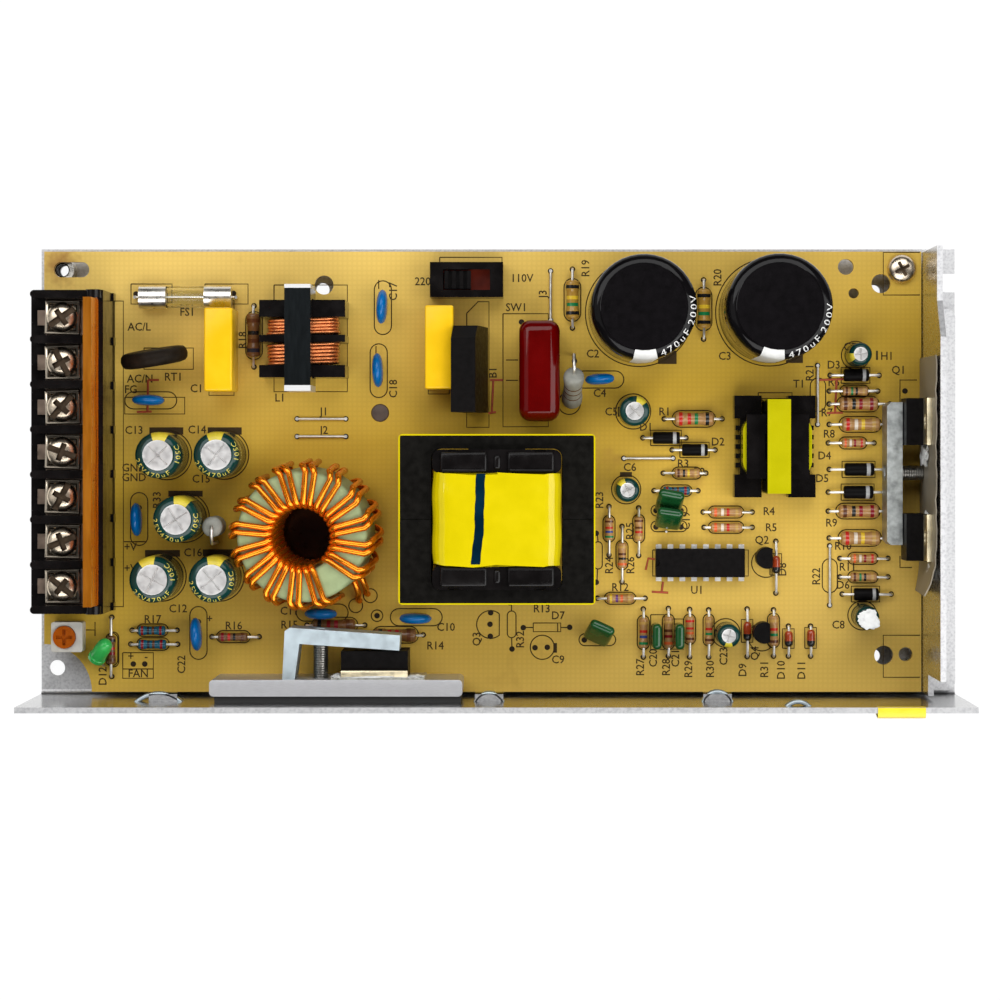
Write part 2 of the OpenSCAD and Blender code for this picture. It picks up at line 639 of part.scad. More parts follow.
// the two wires lie evenly in the bore and closer together outside
function half_gap(r) = turn_step / 4 + (3.6 - turn_step / 4) * (r - wind_in) / (wind_out - wind_in);
function wire_point(r, z, a) = [r * cos(a), r * sin(a), z];
function turn_angle(r, t, s) = turn_start + turn_step * t + s * half_gap(r);
function wire_path(s) = concat(
  [for (p = [[wind_out + 3, bt], [wind_out + 3, bt + 0.4], [wind_out + 1.9, wind_lo]])
    wire_point(p[0], p[1], turn_angle(wind_out, 0, s))],
  [for (k = [0 : ring_turns - 1]) for (j = [(k == 0 ? 2 : 0) : 11])
    wire_point(turn_path[j][0], turn_path[j][1], turn_angle(turn_path[j][0], k + j / 12, s))],
  [for (z = [wind_lo + bend, bt]) wire_point(wind_out, z, turn_angle(wind_out, ring_turns, s))]);
function unit(v) = v / norm(v);
function wire_ring(path, i) = let (
  n = len(path),
  t = unit(path[min(i + 1, n - 1)] - path[max(i - 1, 0)]),
  e = unit([-path[i][1], path[i][0], 0]),
  u = unit(e - (e * t) * t),
  w = cross(t, u))
  [for (k = [0 : sides - 1]) path[i] + wire_d / 2 * (cos(k * 360 / sides) * u + sin(k * 360 / sides) * w)];
module swept_wire(path) {
  n = len(path);
  polyhedron(
    points = [for (i = [0 : n - 1]) for (p = wire_ring(path, i)) p],
    faces = concat(
      [[for (k = [0 : sides - 1]) k]],
      [for (i = [0 : n - 2]) for (k = [0 : sides - 1])
        [i * sides + k, (i + 1) * sides + k, i * sides + (k + 1) % sides]],
      [for (i = [0 : n - 2]) for (k = [0 : sides - 1])
        [i * sides + (k + 1) % sides, (i + 1) * sides + k, (i + 1) * sides + (k + 1) % sides]],
      [[for (k = [0 : sides - 1]) n * sides - 1 - k]]));
}
module toroid_core() {
  ri = ring_id / 2;
  ro = ring_od / 2;
  c = 1;
  color([0.55, 0.66, 0.5]) translate([ring_at[0], ring_at[1], ring_z]) rotate_extrude($fn = 72)
    polygon([[ri + c, 0], [ro - c, 0], [ro, c], [ro, ring_h - c], [ro - c, ring_h], [ri + c, ring_h],
      [ri, ring_h - c], [ri, c]]);
}
module toroid_winding() {
  color([0.74, 0.38, 0.12]) translate([ring_at[0], ring_at[1], 0]) {
    swept_wire(wire_path(-1));
    swept_wire(wire_path(1));
  }
}

// Main transformer: flat core frame, bobbin and winding along Y
tr_y = -9.2;
tr_z = bt + 8;
win_l = core_l - 13;
win_w = core_w - 5.4;
leg_w = 12;
rail_l = 4.9;
tr_tube = 1.2;
module transformer_core() {
  color([0.07, 0.07, 0.07]) translate([0, tr_y, tr_z]) linear_extrude(height = core_h) difference() {
    union() {
      difference() {
        square([core_l, core_w], center = true);
        rrect(win_l, win_w, 2);
      }
      square([leg_w, core_w - 1], center = true);
    }
    square([core_l + 1, 0.1], center = true);
  }
}
module transformer_bobbin() {
  color([0.05, 0.05, 0.05]) translate([0, tr_y, 0]) difference() {
    union() {
      slab(-leg_w / 2 - 0.2 - tr_tube, leg_w / 2 + 0.2 + tr_tube, -win_w / 2 + 0.2, win_w / 2 - 0.2,
        tr_z - 0.2 - tr_tube, tr_z + core_h + 0.2 + tr_tube);
      for (s = [-1, 1]) translate([0, s * (win_w / 2 - 0.2 - rail_l / 2), bt])
        linear_extrude(height = core_h + 10.8) rrect(win_l - 0.6, rail_l, 1.6);
    }
    slab(-leg_w / 2 - 0.2, leg_w / 2 + 0.2, -win_w, win_w, tr_z - 0.2, tr_z + core_h + 0.2);
    for (s = [-1, 1]) for (x = [-9, 9])
      slab(x - 1.2, x + 1.2, s * (win_w / 2 - 1.6) - 2, s * (win_w / 2 - 1.6) + 2, tr_z + core_h + 1, 60);
  }
}
module transformer_winding() {
  l = win_w - 0.4 - 2 * rail_l - 0.2;
  top = tr_z + core_h + 4;
  bot = bt + 1.5;
  color([0.92, 0.86, 0.08]) translate([0, tr_y + l / 2, (top + bot) / 2]) rotate([90, 0, 0])
    linear_extrude(height = l) difference() {
      rrect(win_l - 1, top - bot, 3.5);
      translate([0, tr_z + core_h / 2 - (top + bot) / 2])
        square([leg_w + 0.5 + 2 * tr_tube, core_h + 0.5 + 2 * tr_tube], center = true);
    }
}
module core_tape() {
  color([0.88, 0.82, 0.1]) translate([0, tr_y, tr_z + 0.6]) linear_extrude(height = core_h - 0.6) difference() {
    square([core_l + 0.6, core_w + 0.6], center = true);
    square([core_l, core_w], center = true);
  }
}

// Drive transformer: upright core pair, winding round its middle leg
drv = [59.4, 6.05];
drv_l = 19.4;
drv_w = 4.9;
drv_z = [bt + 1, bt + 16.6];
drv_yoke = 3.4;
drv_leg = 4.8;
drv_side = 2.4;
flange_l = 13.2;
flange_w = 13.6;
module drive_core() {
  window = (drv_l - drv_leg) / 2 - drv_side;
  color([0.08, 0.08, 0.08]) translate([drv[0], drv[1], 0]) difference() {
    slab(-drv_w / 2, drv_w / 2, -drv_l / 2, drv_l / 2, drv_z[0], drv_z[1]);
    for (s = [-1, 1])
      slab(-drv_w, drv_w, s * (drv_leg + window) / 2 - window / 2, s * (drv_leg + window) / 2 + window / 2,
        drv_z[0] + drv_yoke, drv_z[1] - drv_yoke);
    slab(-drv_w, drv_w, -drv_l, drv_l, bt + 8.75, bt + 8.85);
  }
}
module drive_bobbin() {
  z0 = drv_z[0] + drv_yoke + 0.1;
  z1 = drv_z[1] - drv_yoke - 0.1;
  color([0.06, 0.06, 0.06]) translate([drv[0], drv[1], 0]) difference() {
    union() {
      slab(-3.5, 3.5, -3.4, 3.4, z0, z1);
      slab(-flange_l / 2, flange_l / 2, -flange_w / 2, flange_w / 2, z0, z0 + 0.8);
      slab(-flange_l / 2, flange_l / 2, -flange_w / 2, flange_w / 2, z1 - 0.8, z1);
      for (s = [-1, 1]) {
        slab(s * 5.7 - 3, s * 5.7 + 3, -10.9, -6, bt, z0 + 0.8);
        slab(s * 5.7 - 3, s * 5.7 + 3, 6, 10.9, bt, z0 + 0.8);
        slab(s * 5.2 - 2.3, s * 5.2 + 2.3, -8, 8, bt, z0 + 0.4);
        for (i = [-2 : 2]) slab(s * 7.2 - 1.2, s * 7.2 + 1.2, i * 2 - 0.5, i * 2 + 0.5, bt, z0 - 0.4);
      }
    }
    slab(-drv_w / 2 - 0.2, drv_w / 2 + 0.2, -drv_leg / 2 - 0.2, drv_leg / 2 + 0.2, z0 - 1, z1 + 1);
    for (s = [-1, 1]) slab(-drv_w / 2 - 0.4, drv_w / 2 + 0.4, s * 9 - 2.2, s * 9 + 2.2, bt - 1, z1 + 1);
  }
}
module drive_winding() {
  z0 = drv_z[0] + drv_yoke + 1;
  z1 = drv_z[1] - drv_yoke - 1;
  color([0.85, 0.8, 0.1]) translate([drv[0], drv[1], z0]) linear_extrude(height = z1 - z0) difference() {
    rrect(14.6, 12.4, 3);
    square([7.1, 6.9], center = true);
  }
}
module drive_tape() {
  color([0.9, 0.88, 0.05]) translate([drv[0] - drv_w / 2, drv[1], (drv_z[0] + drv_z[1]) / 2]) rotate([90, 0, 90])
    linear_extrude(height = drv_w) difference() {
      square([drv_l + 0.5, drv_z[1] - drv_z[0] + 0.5], center = true);
      square([drv_l, drv_z[1] - drv_z[0]], center = true);
    }
}

// Control chip and small transistors
chip_at = [43.5, -18.95];
pin_pitch = 2.54;
module controller_chip() {
  color([0.08, 0.08, 0.08]) translate([chip_at[0], chip_at[1], 0]) difference() {
    slab(-9.55, 9.55, -3.05, 3.05, bt + 0.8, bt + 4.2);
    translate([-9.55, 0, bt + 3.6]) cylinder(d = 1.8, h = 2, $fn = 32);
  }
}
module controller_pins() {
  color([0.75, 0.75, 0.72]) translate([chip_at[0], chip_at[1], 0])
    for (i = [0 : 7]) for (s = [0, 180]) rotate([0, 0, s]) {
      x = (i - 3.5) * pin_pitch;
      slab(x - 0.6, x + 0.6, 3.05, 3.95, bt + 2.3, bt + 2.6);
      slab(x - 0.3, x + 0.3, 3.65, 3.95, bt, bt + 2.4);
    }
}
transistor_at = [[57.6, -17.8], [57, -33.8]];
module small_transistors() {
  color([0.09, 0.09, 0.09]) for (p = transistor_at) translate([p[0], p[1], bt]) union() {
    difference() {
      translate([0, 0, 2.3]) cylinder(d = 4.6, h = 4.7, $fn = 48);
      translate([1.2, -4, 0]) cube([4, 8, 10]);
    }
    for (y = [-1.27, 0, 1.27]) translate([0, y, 0]) cylinder(d = 0.5, h = 3, $fn = 24);
  }
}

// Axial parts along X: lead, lead, y, body start, body end, diameter
diode_x = [[31.3, 40.6, 7.9, 33.4, 39.2, 2.6], [37.6, 46.9, 5.3, 39.7, 45.2, 2.6],
  [71.7, 82.3, 21.4, 74.5, 79.9, 2.7], [71.5, 83.6, 1.1, 74.7, 81, 2.8],
  [71.3, 83.6, -3.8, 74.5, 80.8, 2.8], [74.3, 84.9, -25.8, 76.7, 82, 2.7]];
small_x = [[35.7, 44.9, 0.3, 38.1, 43.5, 2], [44.3, 54.9, -8.1, 45.9, 52.6, 2],
  [44.5, 54.9, -11.4, 45.9, 52.6, 2], [71.5, 82, 18, 74.3, 79.7, 2], [71.3, 81.2, 6.8, 74.1, 79.2, 2],
  [73.8, 84.2, -18.1, 76, 81.6, 2], [73.8, 84.2, -22.1, 76, 81.6, 2], [21.5, 31.8, -26.7, 23.5, 29.3, 2],
  [-61.7, -51.5, -35, -60.2, -53.9, 2]];
film_x = [[-78.9, -69.2, -33.6, -77.4, -71.6, 2.1], [-79.2, -69.1, -36.6, -77.4, -71.4, 2.1],
  [33.7, 43.2, -3.5, 35.6, 41.4, 1.9]];
// Axial parts along Y: x, lead, lead, body start, body end, diameter
glass_y = [[60, -25.6, -14.4, -21.3, -17.5, 1.8], [53.8, -39.3, -29, -35.8, -31.7, 1.8],
  [62.7, -39.2, -32.7, -37.1, -33.7, 1.8], [67.5, -39.2, -32.7, -37.1, -33.4, 1.8]];
large_y =[[-52.6, 23.2, 36.4, 25.3, 34.7, 3], [16.1, 31.6, 44.3, 33.5, 41.8, 3],
  [44.4, 29.2, 42, 31.5, 39.9, 3]];
module rectifier_diodes() {
  color([0.1, 0.1, 0.1]) for (r = diode_x) axial_x(r[0], r[1], r[2], r[3], r[4], r[5], true);
}
module glass_diodes() {
  color([0.6, 0.2, 0.1]) for (r = glass_y) axial_y(r[0], r[1], r[2], r[3], r[4], r[5], true);
}
module small_resistors() {
  color([0.76, 0.58, 0.38]) {
    for (r = small_x) axial_x(r[0], r[1], r[2], r[3], r[4], r[5]);
    for (r = small_y) axial_y(r[0], r[1], r[2], r[3], r[4], r[5]);
  }
}
module large_resistors() {
  color([0.74, 0.55, 0.36]) {
    for (r = large_x) axial_x(r[0], r[1], r[2], r[3], r[4], r[5]);
    for (r = large_y) axial_y(r[0], r[1], r[2], r[3], r[4], r[5]);
  }
}
module metal_film_resistors() {
  color([0.1, 0.4, 0.55]) for (r = film_x) axial_x(r[0], r[1], r[2], r[3], r[4], r[5]);
}
// Wire links: along X, then along Y
link_x = [[-43.3, -32.8, 12], [-43.3, -32.8, 8.2], [27.2, 37.8, 3.5]];
link_y = [[11.4, 33.3, 43.9], [69, 10.8, 23.5], [71.6, -28.2, -15.4]];
module jumper_wires() {
  z = bt + 0.6;
  color([0.75, 0.73, 0.7]) {
    for (j = link_x) {
      rod([j[0], j[2], z], [j[1], j[2], z], lead_d);
      leg(j[0], j[2], z + 0.35);
      leg(j[1], j[2], z + 0.35);
    }
    for (j = link_y) {
      rod([j[0], j[1], z], [j[0], j[2], z], lead_d);
      leg(j[0], j[1], z + 0.35);
      leg(j[0], j[2], z + 0.35);
    }
  }
}
// Dipped film capacitors: foot, head
drop_at = [[[36.5, -7.8, bt + 1], [37.3, -3.8, bt + 8]], [[36.5, -11.1, bt + 1], [37, -7.7, bt + 8]],
  [[34, -34.6, bt + 1], [34.1, -34.6, bt + 8]], [[38.9, -34.6, bt + 1], [39, -34.6, bt + 8]],
  [[21, -35.7, bt + 1], [22.6, -32.2, bt + 7.5]]];
module drop_capacitors() {
  color([0.1, 0.42, 0.2]) for (p = drop_at) union() {
    h = norm(p[1] - p[0]);
    v = p[1] - p[0];
    along(p[0], p[1]) translate([-1, 0, 0]) rotate([90, 0, 90]) linear_extrude(height = 2)
      translate([0, h / 2]) rrect(5.6, h, 2.2);
    translate([p[0][0], p[0][1], bt]) rotate([0, 0, atan2(v[1], v[0])])
      for (s = [-1, 1]) translate([0.3, s * 1.2, 0]) cylinder(d = 0.5, h = 2.2, $fn = 24);
  }
}

// Power transistors pressed against the end wall
pad_t = 0.5;
tab_t = 1.3;
pack_t = 3.6;
bar_t = 3.3;
bar_l = 30.3;
bar_h = 9.2;
switch_y = [11.3, -13.1];
pack_x = wall_x - pad_t - tab_t - pack_t;
bar_x = pack_x - 0.2 - bar_t;
pack_w = 9.9;
pack_z = [bt + 7, bt + 16.5, bt + 22];
module power_transistors() {
  w = pack_w / 2;
  color([0.1, 0.1, 0.1]) for (y = switch_y) difference() {
    union() {
      slab(pack_x, pack_x + pack_t, y - w, y + w, pack_z[0], pack_z[1]);
      slab(pack_x + pack_t, wall_x - pad_t, y - w, y + w, pack_z[0], pack_z[2]);
      for (k = [-1 : 1])
        slab(pack_x + 1.6, pack_x + 2.2, y + k * 2.54 - 0.4, y + k * 2.54 + 0.4, bt, pack_z[0] + 1);
    }
    translate([pack_x, y, pack_z[2] - 2.8]) rotate([0, 90, 0]) cylinder(d = 3.6, h = 10, $fn = 40);
  }
}
module clamp_bar() {
  color([0.62, 0.65, 0.68]) difference() {
    translate([bar_x, clamp_y - 0.1 - bar_l / 2, clamp_z - bar_h / 2]) linear_extrude(height = bar_h)
      polygon([[0, 0.8], [0.8, 0], [bar_t, 0], [bar_t, bar_l], [0.8, bar_l], [0, bar_l - 0.8]]);
    translate([bar_x - 1, clamp_y, clamp_z]) rotate([0, 90, 0]) cylinder(d = screw_d + 0.2, h = 10, $fn = 40);
  }
}
module clamp_screw() {
  color([0.45, 0.45, 0.45]) translate([wall_x + sheet_t, clamp_y, clamp_z]) rotate([0, -90, 0])
    flat_screw(wall_x + sheet_t - bar_x - 0.4, sink_d);
}
pad_l = 50;
module insulating_sheet() {
  color([0.55, 0.54, 0.52]) difference() {
    slab(wall_x - pad_t, wall_x, -pad_l / 2, pad_l / 2, bt + 0.4, wall_h - 2);
    translate([wall_x - 5, clamp_y, clamp_z]) rotate([0, 90, 0]) cylinder(d = screw_d + 0.6, h = 10, $fn = 40);
  }
}

// Output rectifier pressed against a bar on the long wall
back_t = 1.3;
spacer_t = 3.5;
spacer_l = 53.2;
spacer_h = 18;
spacer_x = -33.9;
rect_x = -25.85;
rect_w = 14.1;
rect_pad = 0.4;
rect_tab = 1.5;
rect_body = 4;
face_y = wall_y + back_t + spacer_t;
module spacer_bar() {
  color([0.8, 0.81, 0.82]) difference() {
    translate([spacer_x, face_y - spacer_t / 2, bt]) linear_extrude(height = spacer_h)
      rrect(spacer_l, spacer_t, 0.9);
    translate([rect_screw_x, wall_y - 1, rect_screw_z]) rotate([-90, 0, 0])
      cylinder(d = screw_d + 0.4, h = 10, $fn = 40);
  }
}
// one pad between the bar and the wall, one under the rectifier
module rectifier_pads() {
  color([0.4, 0.4, 0.4]) {
    difference() {
      slab(spacer_x - spacer_l / 2 + 1, spacer_x + spacer_l / 2 - 0.3, wall_y, wall_y + back_t,
        bt + 1, bt + spacer_h - 1);
      translate([rect_screw_x, wall_y - 1, rect_screw_z]) rotate([-90, 0, 0])
        cylinder(d = screw_d + 0.6, h = 10, $fn = 40);
    }
    slab(rect_x - rect_w / 2 - 2, rect_x + rect_w / 2 + 3.5, face_y, face_y + rect_pad,
      bt + 2, bt + spacer_h - 0.5);
  }
}
module output_rectifier() {
  y0 = face_y + rect_pad;
  color([0.1, 0.1, 0.1]) difference() {
    union() {
      slab(rect_x - rect_w / 2, rect_x + rect_w / 2, y0, y0 + rect_tab, bt + 3, bt + 17.5);
      slab(rect_x - rect_w / 2, rect_x + rect_w / 2, y0 + rect_tab, y0 + rect_tab + rect_body, bt + 3, bt + 16);
      for (k = [-1 : 1]) slab(rect_x + k * 5.45 - 0.5, rect_x + k * 5.45 + 0.5, y0 + 2.4, y0 + 3, bt, bt + 4);
    }
  }
}
module rectifier_clamp() {
  front = rect_pad + rect_tab + rect_body;
  color([0.7, 0.74, 0.77]) difference() {
    translate([0, face_y, bt + 7]) linear_extrude(height = 10)
      polygon([[-45.2, 0], [-42.6, 0], [-41.6, front + 1.6], [-20.6, front + 0.2], [-20.4, front + 3.4],
        [-43.6, front + 5], [-44.7, front + 4.3]]);
    translate([rect_screw_x, face_y, rect_screw_z]) rotate([-90, 0, 0])
      cylinder(d = screw_d + 0.2, h = 20, $fn = 40);
  }
}
module rectifier_screw() {
  color([0.45, 0.45, 0.45]) translate([rect_screw_x, base_y0, rect_screw_z]) rotate([-90, 0, 0])
    flat_screw(sheet_t + back_t + spacer_t + rect_pad + rect_tab + rect_body + 4, sink_d);
}

chassis();
long_wall();
end_wall();
board();
board_standoffs();
board_screw();
terminal_housing();
terminal_contacts();
terminal_plates();
terminal_screws();
terminal_cover();
trimmer_body();
trimmer_rotor();
status_led();
fuse_tube();
fuse_caps();
thermistor();
line_capacitors();
choke_core();
choke_bobbin();
choke_windings();
disc_capacitors();
selector_housing();
selector_insert();
selector_slider();
bridge_rectifier();
film_capacitor();
power_resistors();
bulk_capacitors();
output_capacitors();
small_capacitors();
toroid_core();
toroid_winding();
transformer_core();
transformer_bobbin();
transformer_winding();
core_tape();
drive_core();
drive_bobbin();
drive_winding();
drive_tape();
controller_chip();
controller_pins();
small_transistors();
rectifier_diodes();
glass_diodes();
small_resistors();
large_resistors();
metal_film_resistors();
jumper_wires();
drop_capacitors();
power_transistors();
clamp_bar();
clamp_screw();
insulating_sheet();
output_rectifier();
rectifier_clamp();
rectifier_screw();
rectifier_pads();
spacer_bar();
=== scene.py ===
import math
import random
import bpy
from mathutils import Matrix, Vector


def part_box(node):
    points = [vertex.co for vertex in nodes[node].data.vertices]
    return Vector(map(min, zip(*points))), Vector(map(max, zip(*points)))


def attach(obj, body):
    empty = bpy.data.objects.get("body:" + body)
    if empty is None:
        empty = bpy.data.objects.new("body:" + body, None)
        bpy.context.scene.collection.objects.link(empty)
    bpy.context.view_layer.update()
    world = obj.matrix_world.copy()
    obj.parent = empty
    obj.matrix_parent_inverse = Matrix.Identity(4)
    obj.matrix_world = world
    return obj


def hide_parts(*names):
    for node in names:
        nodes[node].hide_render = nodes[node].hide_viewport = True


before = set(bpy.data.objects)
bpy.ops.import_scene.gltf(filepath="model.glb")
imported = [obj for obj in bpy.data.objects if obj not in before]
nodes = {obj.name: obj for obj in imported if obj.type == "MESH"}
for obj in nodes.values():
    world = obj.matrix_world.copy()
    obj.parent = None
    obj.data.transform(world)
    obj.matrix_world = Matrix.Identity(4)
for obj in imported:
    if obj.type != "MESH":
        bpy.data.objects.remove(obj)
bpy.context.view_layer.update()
random.seed(7)

MM = 0.001
TOP = 8.0            # upper face of the circuit board, mm
SUNK = TOP - 0.05    # lower end of a lead, just inside the board, mm
LEAD = 0.6           # lead wire diameter, mm
ROOT = "supply"


# Modelling helpers: every size is in mm and becomes metres on the way in

def deselect():
    bpy.ops.object.select_all(action="DESELECT")


def only(obj):
    deselect()
    obj.select_set(True)
    bpy.context.view_layer.objects.active = obj


def select_all():
    bpy.ops.mesh.select_all(action="SELECT")


def edit(obj):
    only(obj)
    bpy.ops.object.mode_set(mode="EDIT")
    select_all()


def leave():
    bpy.ops.object.mode_set(mode="OBJECT")


def outward():
    select_all()
    bpy.ops.mesh.normals_make_consistent(inside=False)


def at(x, y, z):
    return Matrix.Translation((x * MM, y * MM, z * MM))


def turn(degrees, axis):
    return Matrix.Rotation(math.radians(degrees), 4, axis)


def sized(x, y, z):
    return Matrix.Diagonal((x, y, z, 1.0))


def pointing(direction):
    """Turns Z to that direction."""
    return direction.to_track_quat("Z", "Y").to_matrix().to_4x4()


def moved(obj, place):
    obj.data.transform(place)
    return obj


def in_mm(corners):
    return [Vector(v) / MM for v in corners]


def plane(name, size=1.0):
    deselect()
    bpy.ops.mesh.primitive_plane_add(size=size)
    obj = bpy.context.active_object
    obj.name = name
    return obj


def grid(name, cuts):
    """A flat square, cut into small faces to shape."""
    obj = plane(name)
    edit(obj)
    bpy.ops.mesh.subdivide(number_cuts=cuts)
    leave()
    return obj


def extrude(x, y, z):
    bpy.ops.mesh.extrude_region_move(TRANSFORM_OT_translate={"value": (x * MM, y * MM, z * MM)})


def drawn(name, points):
    """One vertex extruded from point to point; it stays in edit mode, all selected."""
    obj = plane(name, MM)
    edit(obj)
    bpy.ops.mesh.merge(type="CENTER")
    bpy.ops.transform.translate(value=[c * MM for c in points[0]])
    for last, p in zip(points, points[1:]):
        extrude(*(b - a for a, b in zip(last, p)))
    select_all()
    return obj


def lathe(name, profile, steps=24, place=at(0, 0, 0)):
    """A profile of (radius, height) points, spun about Z."""
    obj = drawn(name, [(r, 0, z) for r, z in profile])
    bpy.ops.mesh.spin(steps=steps, angle=2 * math.pi, center=(0, 0, 0), axis=(0, 0, 1))
    select_all()
    bpy.ops.mesh.remove_doubles(threshold=1e-6)
    outward()
    leave()
    return moved(obj, place)


def block(name, size, round_by, segments=2, place=at(0, 0, 0)):
    """A box of that size about its middle, with its edges bevelled round."""
    deselect()
    bpy.ops.mesh.primitive_cube_add(size=1)
    obj = bpy.context.active_object
    obj.name = name
    obj.data.transform(sized(*(s * MM for s in size)))
    edit(obj)
    bpy.ops.mesh.bevel(offset=round_by * MM, segments=segments, affect="EDGES")
    leave()
    return moved(obj, place)


def tube(name, paths, diameter, sides=2, closed=False):
    """Round wire along each path of points."""
    curve = bpy.data.curves.new(name, "CURVE")
    curve.dimensions = "3D"
    curve.bevel_depth = diameter / 2 * MM
    curve.bevel_resolution = sides
    curve.use_fill_caps = True
    for path in paths:
        spline = curve.splines.new("POLY")
        spline.points.add(len(path) - 1)
        spline.use_cyclic_u = closed
        for point, p in zip(spline.points, path):
            point.co = (*(c * MM for c in p), 1)
    obj = bpy.data.objects.new(name, curve)
    bpy.context.scene.collection.objects.link(obj)
    only(obj)
    bpy.ops.object.convert(target="MESH")
    return bpy.context.active_object


def stubs(feet, rise):
    """Paths of short straight leads, up from the board."""
    return [[(x, y, SUNK), (x, y, TOP + rise)] for x, y in feet]


def letter(text, size, bold=0.0):
    """Flat lettering about its middle."""
    deselect()
    bpy.ops.object.text_add()
    t = bpy.context.active_object
    t.data.body = text
    t.data.align_x = "CENTER"
    t.data.align_y = "CENTER"
    t.data.size = size * MM
    t.data.offset = bold * MM
    t.data.resolution_u = 2
    bpy.ops.object.convert(target="MESH")
    return bpy.context.active_object


def applied(obj, kind, **settings):
    """Adds a modifier with those settings and applies it."""
    only(obj)
    m = obj.modifiers.new("work", kind)
    for k, v in settings.items():
        setattr(m, k, v)
    bpy.ops.object.modifier_apply(modifier="work")
    return obj


def copies(obj, places):
    """One copy of a finished form for each place, each with its own mesh."""
    made = []
    for m in places:
        c = obj.copy()
        c.data = obj.data.copy()
        c.data.transform(m)
        bpy.context.scene.collection.objects.link(c)
        made.append(c)
    bpy.data.objects.remove(obj)
    return made


def joined(name, parts):
    deselect()
    for p in parts:
        p.select_set(True)
    bpy.context.view_layer.objects.active = parts[0]
    if len(parts) > 1:
        bpy.ops.object.join()
    obj = bpy.context.active_object
    obj.name = name
    return obj


def cut_by(obj, tools):
    tool = joined("tool", tools)
    applied(obj, "BOOLEAN", operation="DIFFERENCE", solver="EXACT", use_self=True, object=tool)
    bpy.data.objects.remove(tool)
    return obj


def paint(obj, *materials):
    for m in materials:
        obj.data.materials.append(m)
    return obj


def paint_faces(obj, slot, where):
    """Gives that paint slot to the faces whose middle, in mm, and slot so far meet the test."""
    for p in obj.data.polygons:
        if where(p.center / MM, p.material_index):
            p.material_index = slot


def dress(obj, materials, replaces=(), body=ROOT, smooth=35):
    """Gives a finished piece its materials and its body, and hides the nodes it stands for."""
    only(obj)
    if smooth:
        bpy.ops.object.shade_smooth_by_angle(angle=math.radians(smooth))
    if materials:
        obj.data.materials.clear()
        paint(obj, *materials)
    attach(obj, body)
    if replaces:
        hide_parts(*replaces)
    return obj


# Materials: each reads the piece's own coordinates, so a pattern stays where it is

def new_shader(name):
    m = bpy.data.materials.new(name)
    m.use_nodes = True
    return m, m.node_tree, m.node_tree.nodes["Principled BSDF"]


def set_inputs(tree, node, values):
    """Sets each input to a constant, or links it to another node's output."""
    for k, v in values.items():
        if isinstance(v, bpy.types.NodeSocket):
            tree.links.new(v, node.inputs[k])
        else:
            node.inputs[k].default_value = v


def add(tree, kind, inputs, **settings):
    n = tree.nodes.new(kind)
    for k, v in settings.items():
        setattr(n, k, v)
    set_inputs(tree, n, inputs)
    return n


def coords(tree, stretch=(1, 1, 1)):
    c = add(tree, "ShaderNodeTexCoord", {})
    return add(tree, "ShaderNodeMapping", {"Vector": c.outputs["Object"], "Scale": stretch}).outputs["Vector"]


def noise(tree, vector, scale, detail=4.0):
    n = add(tree, "ShaderNodeTexNoise", {"Vector": vector, "Scale": scale, "Detail": detail})
    return n.outputs["Fac"]


def ramp(tree, fac, low, high, a=0.3, b=0.7):
    r = add(tree, "ShaderNodeValToRGB", {"Fac": fac})
    for element, place, tone in zip(r.color_ramp.elements, (a, b), (low, high)):
        element.position = place
        element.color = (*tone, 1)
    return r.outputs["Color"]


def spread_range(tree, fac, low, high, a=0.3, b=0.7):
    r = add(tree, "ShaderNodeMapRange", {"Value": fac, "From Min": a, "From Max": b})
    set_inputs(tree, r, {"To Min": low, "To Max": high})
    return r.outputs["Result"]


def maths(tree, operation, *values):
    return add(tree, "ShaderNodeMath", dict(enumerate(values)), operation=operation).outputs[0]


def measure(tree, operation, vector, other):
    n = add(tree, "ShaderNodeVectorMath", {0: vector, 1: other}, operation=operation)
    return n.outputs["Value"]


def blend(tree, share, low, high, **settings):
    """Mix of two colours, each a constant or a link."""
    n = add(tree, "ShaderNodeMix", {}, data_type="RGBA", **settings)
    set_inputs(tree, n, {0: share, 6: low, 7: high})
    return n.outputs[2]


def blend_numbers(tree, share, low, high):
    return add(tree, "ShaderNodeMix", {0: share, 2: low, 3: high}, data_type="FLOAT").outputs[0]


def facing(tree, direction, over):
    """1 on faces that look that way by more than the given share, else 0."""
    normal = add(tree, "ShaderNodeNewGeometry", {}).outputs["True Normal"]
    return maths(tree, "GREATER_THAN", measure(tree, "DOT_PRODUCT", normal, direction), over)


def rough_bump(tree, shader, height, strength, distance):
    b = add(tree, "ShaderNodeBump", {"Height": height, "Strength": strength, "Distance": distance})
    tree.links.new(b.outputs["Normal"], shader.inputs["Normal"])


def finish(name, colour, rough, spread=0.12, grain=500, bump=0.15, shine=0.5, metal=0.0,
           stretch=(1, 1, 1), coat=0.0, through=0.0, fine=6.0):
    """A mottled finish: colour, roughness and a fine bump all vary over the surface."""
    m, t, s = new_shader(name)
    v = coords(t, stretch)
    f = noise(t, v, grain)
    low = tuple(c * (1 - spread) for c in colour)
    high = tuple(min(1.0, c * (1 + spread)) for c in colour)
    set_inputs(t, s, {"Base Color": ramp(t, f, low, high), "Metallic": metal, "Specular IOR Level": shine,
                      "Roughness": spread_range(t, f, max(0.02, rough - 0.07), min(1, rough + 0.07)),
                      "Transmission Weight": through})
    if coat:
        set_inputs(t, s, {"Coat Weight": coat, "Coat Roughness": 0.12})
    if bump:
        rough_bump(t, s, noise(t, v, grain * fine, 2.0), bump, 0.0001)
    return m


def plating(name, colour, rough, spread, grain, bump):
    return finish(name, colour, rough, spread, grain, bump, metal=1.0)


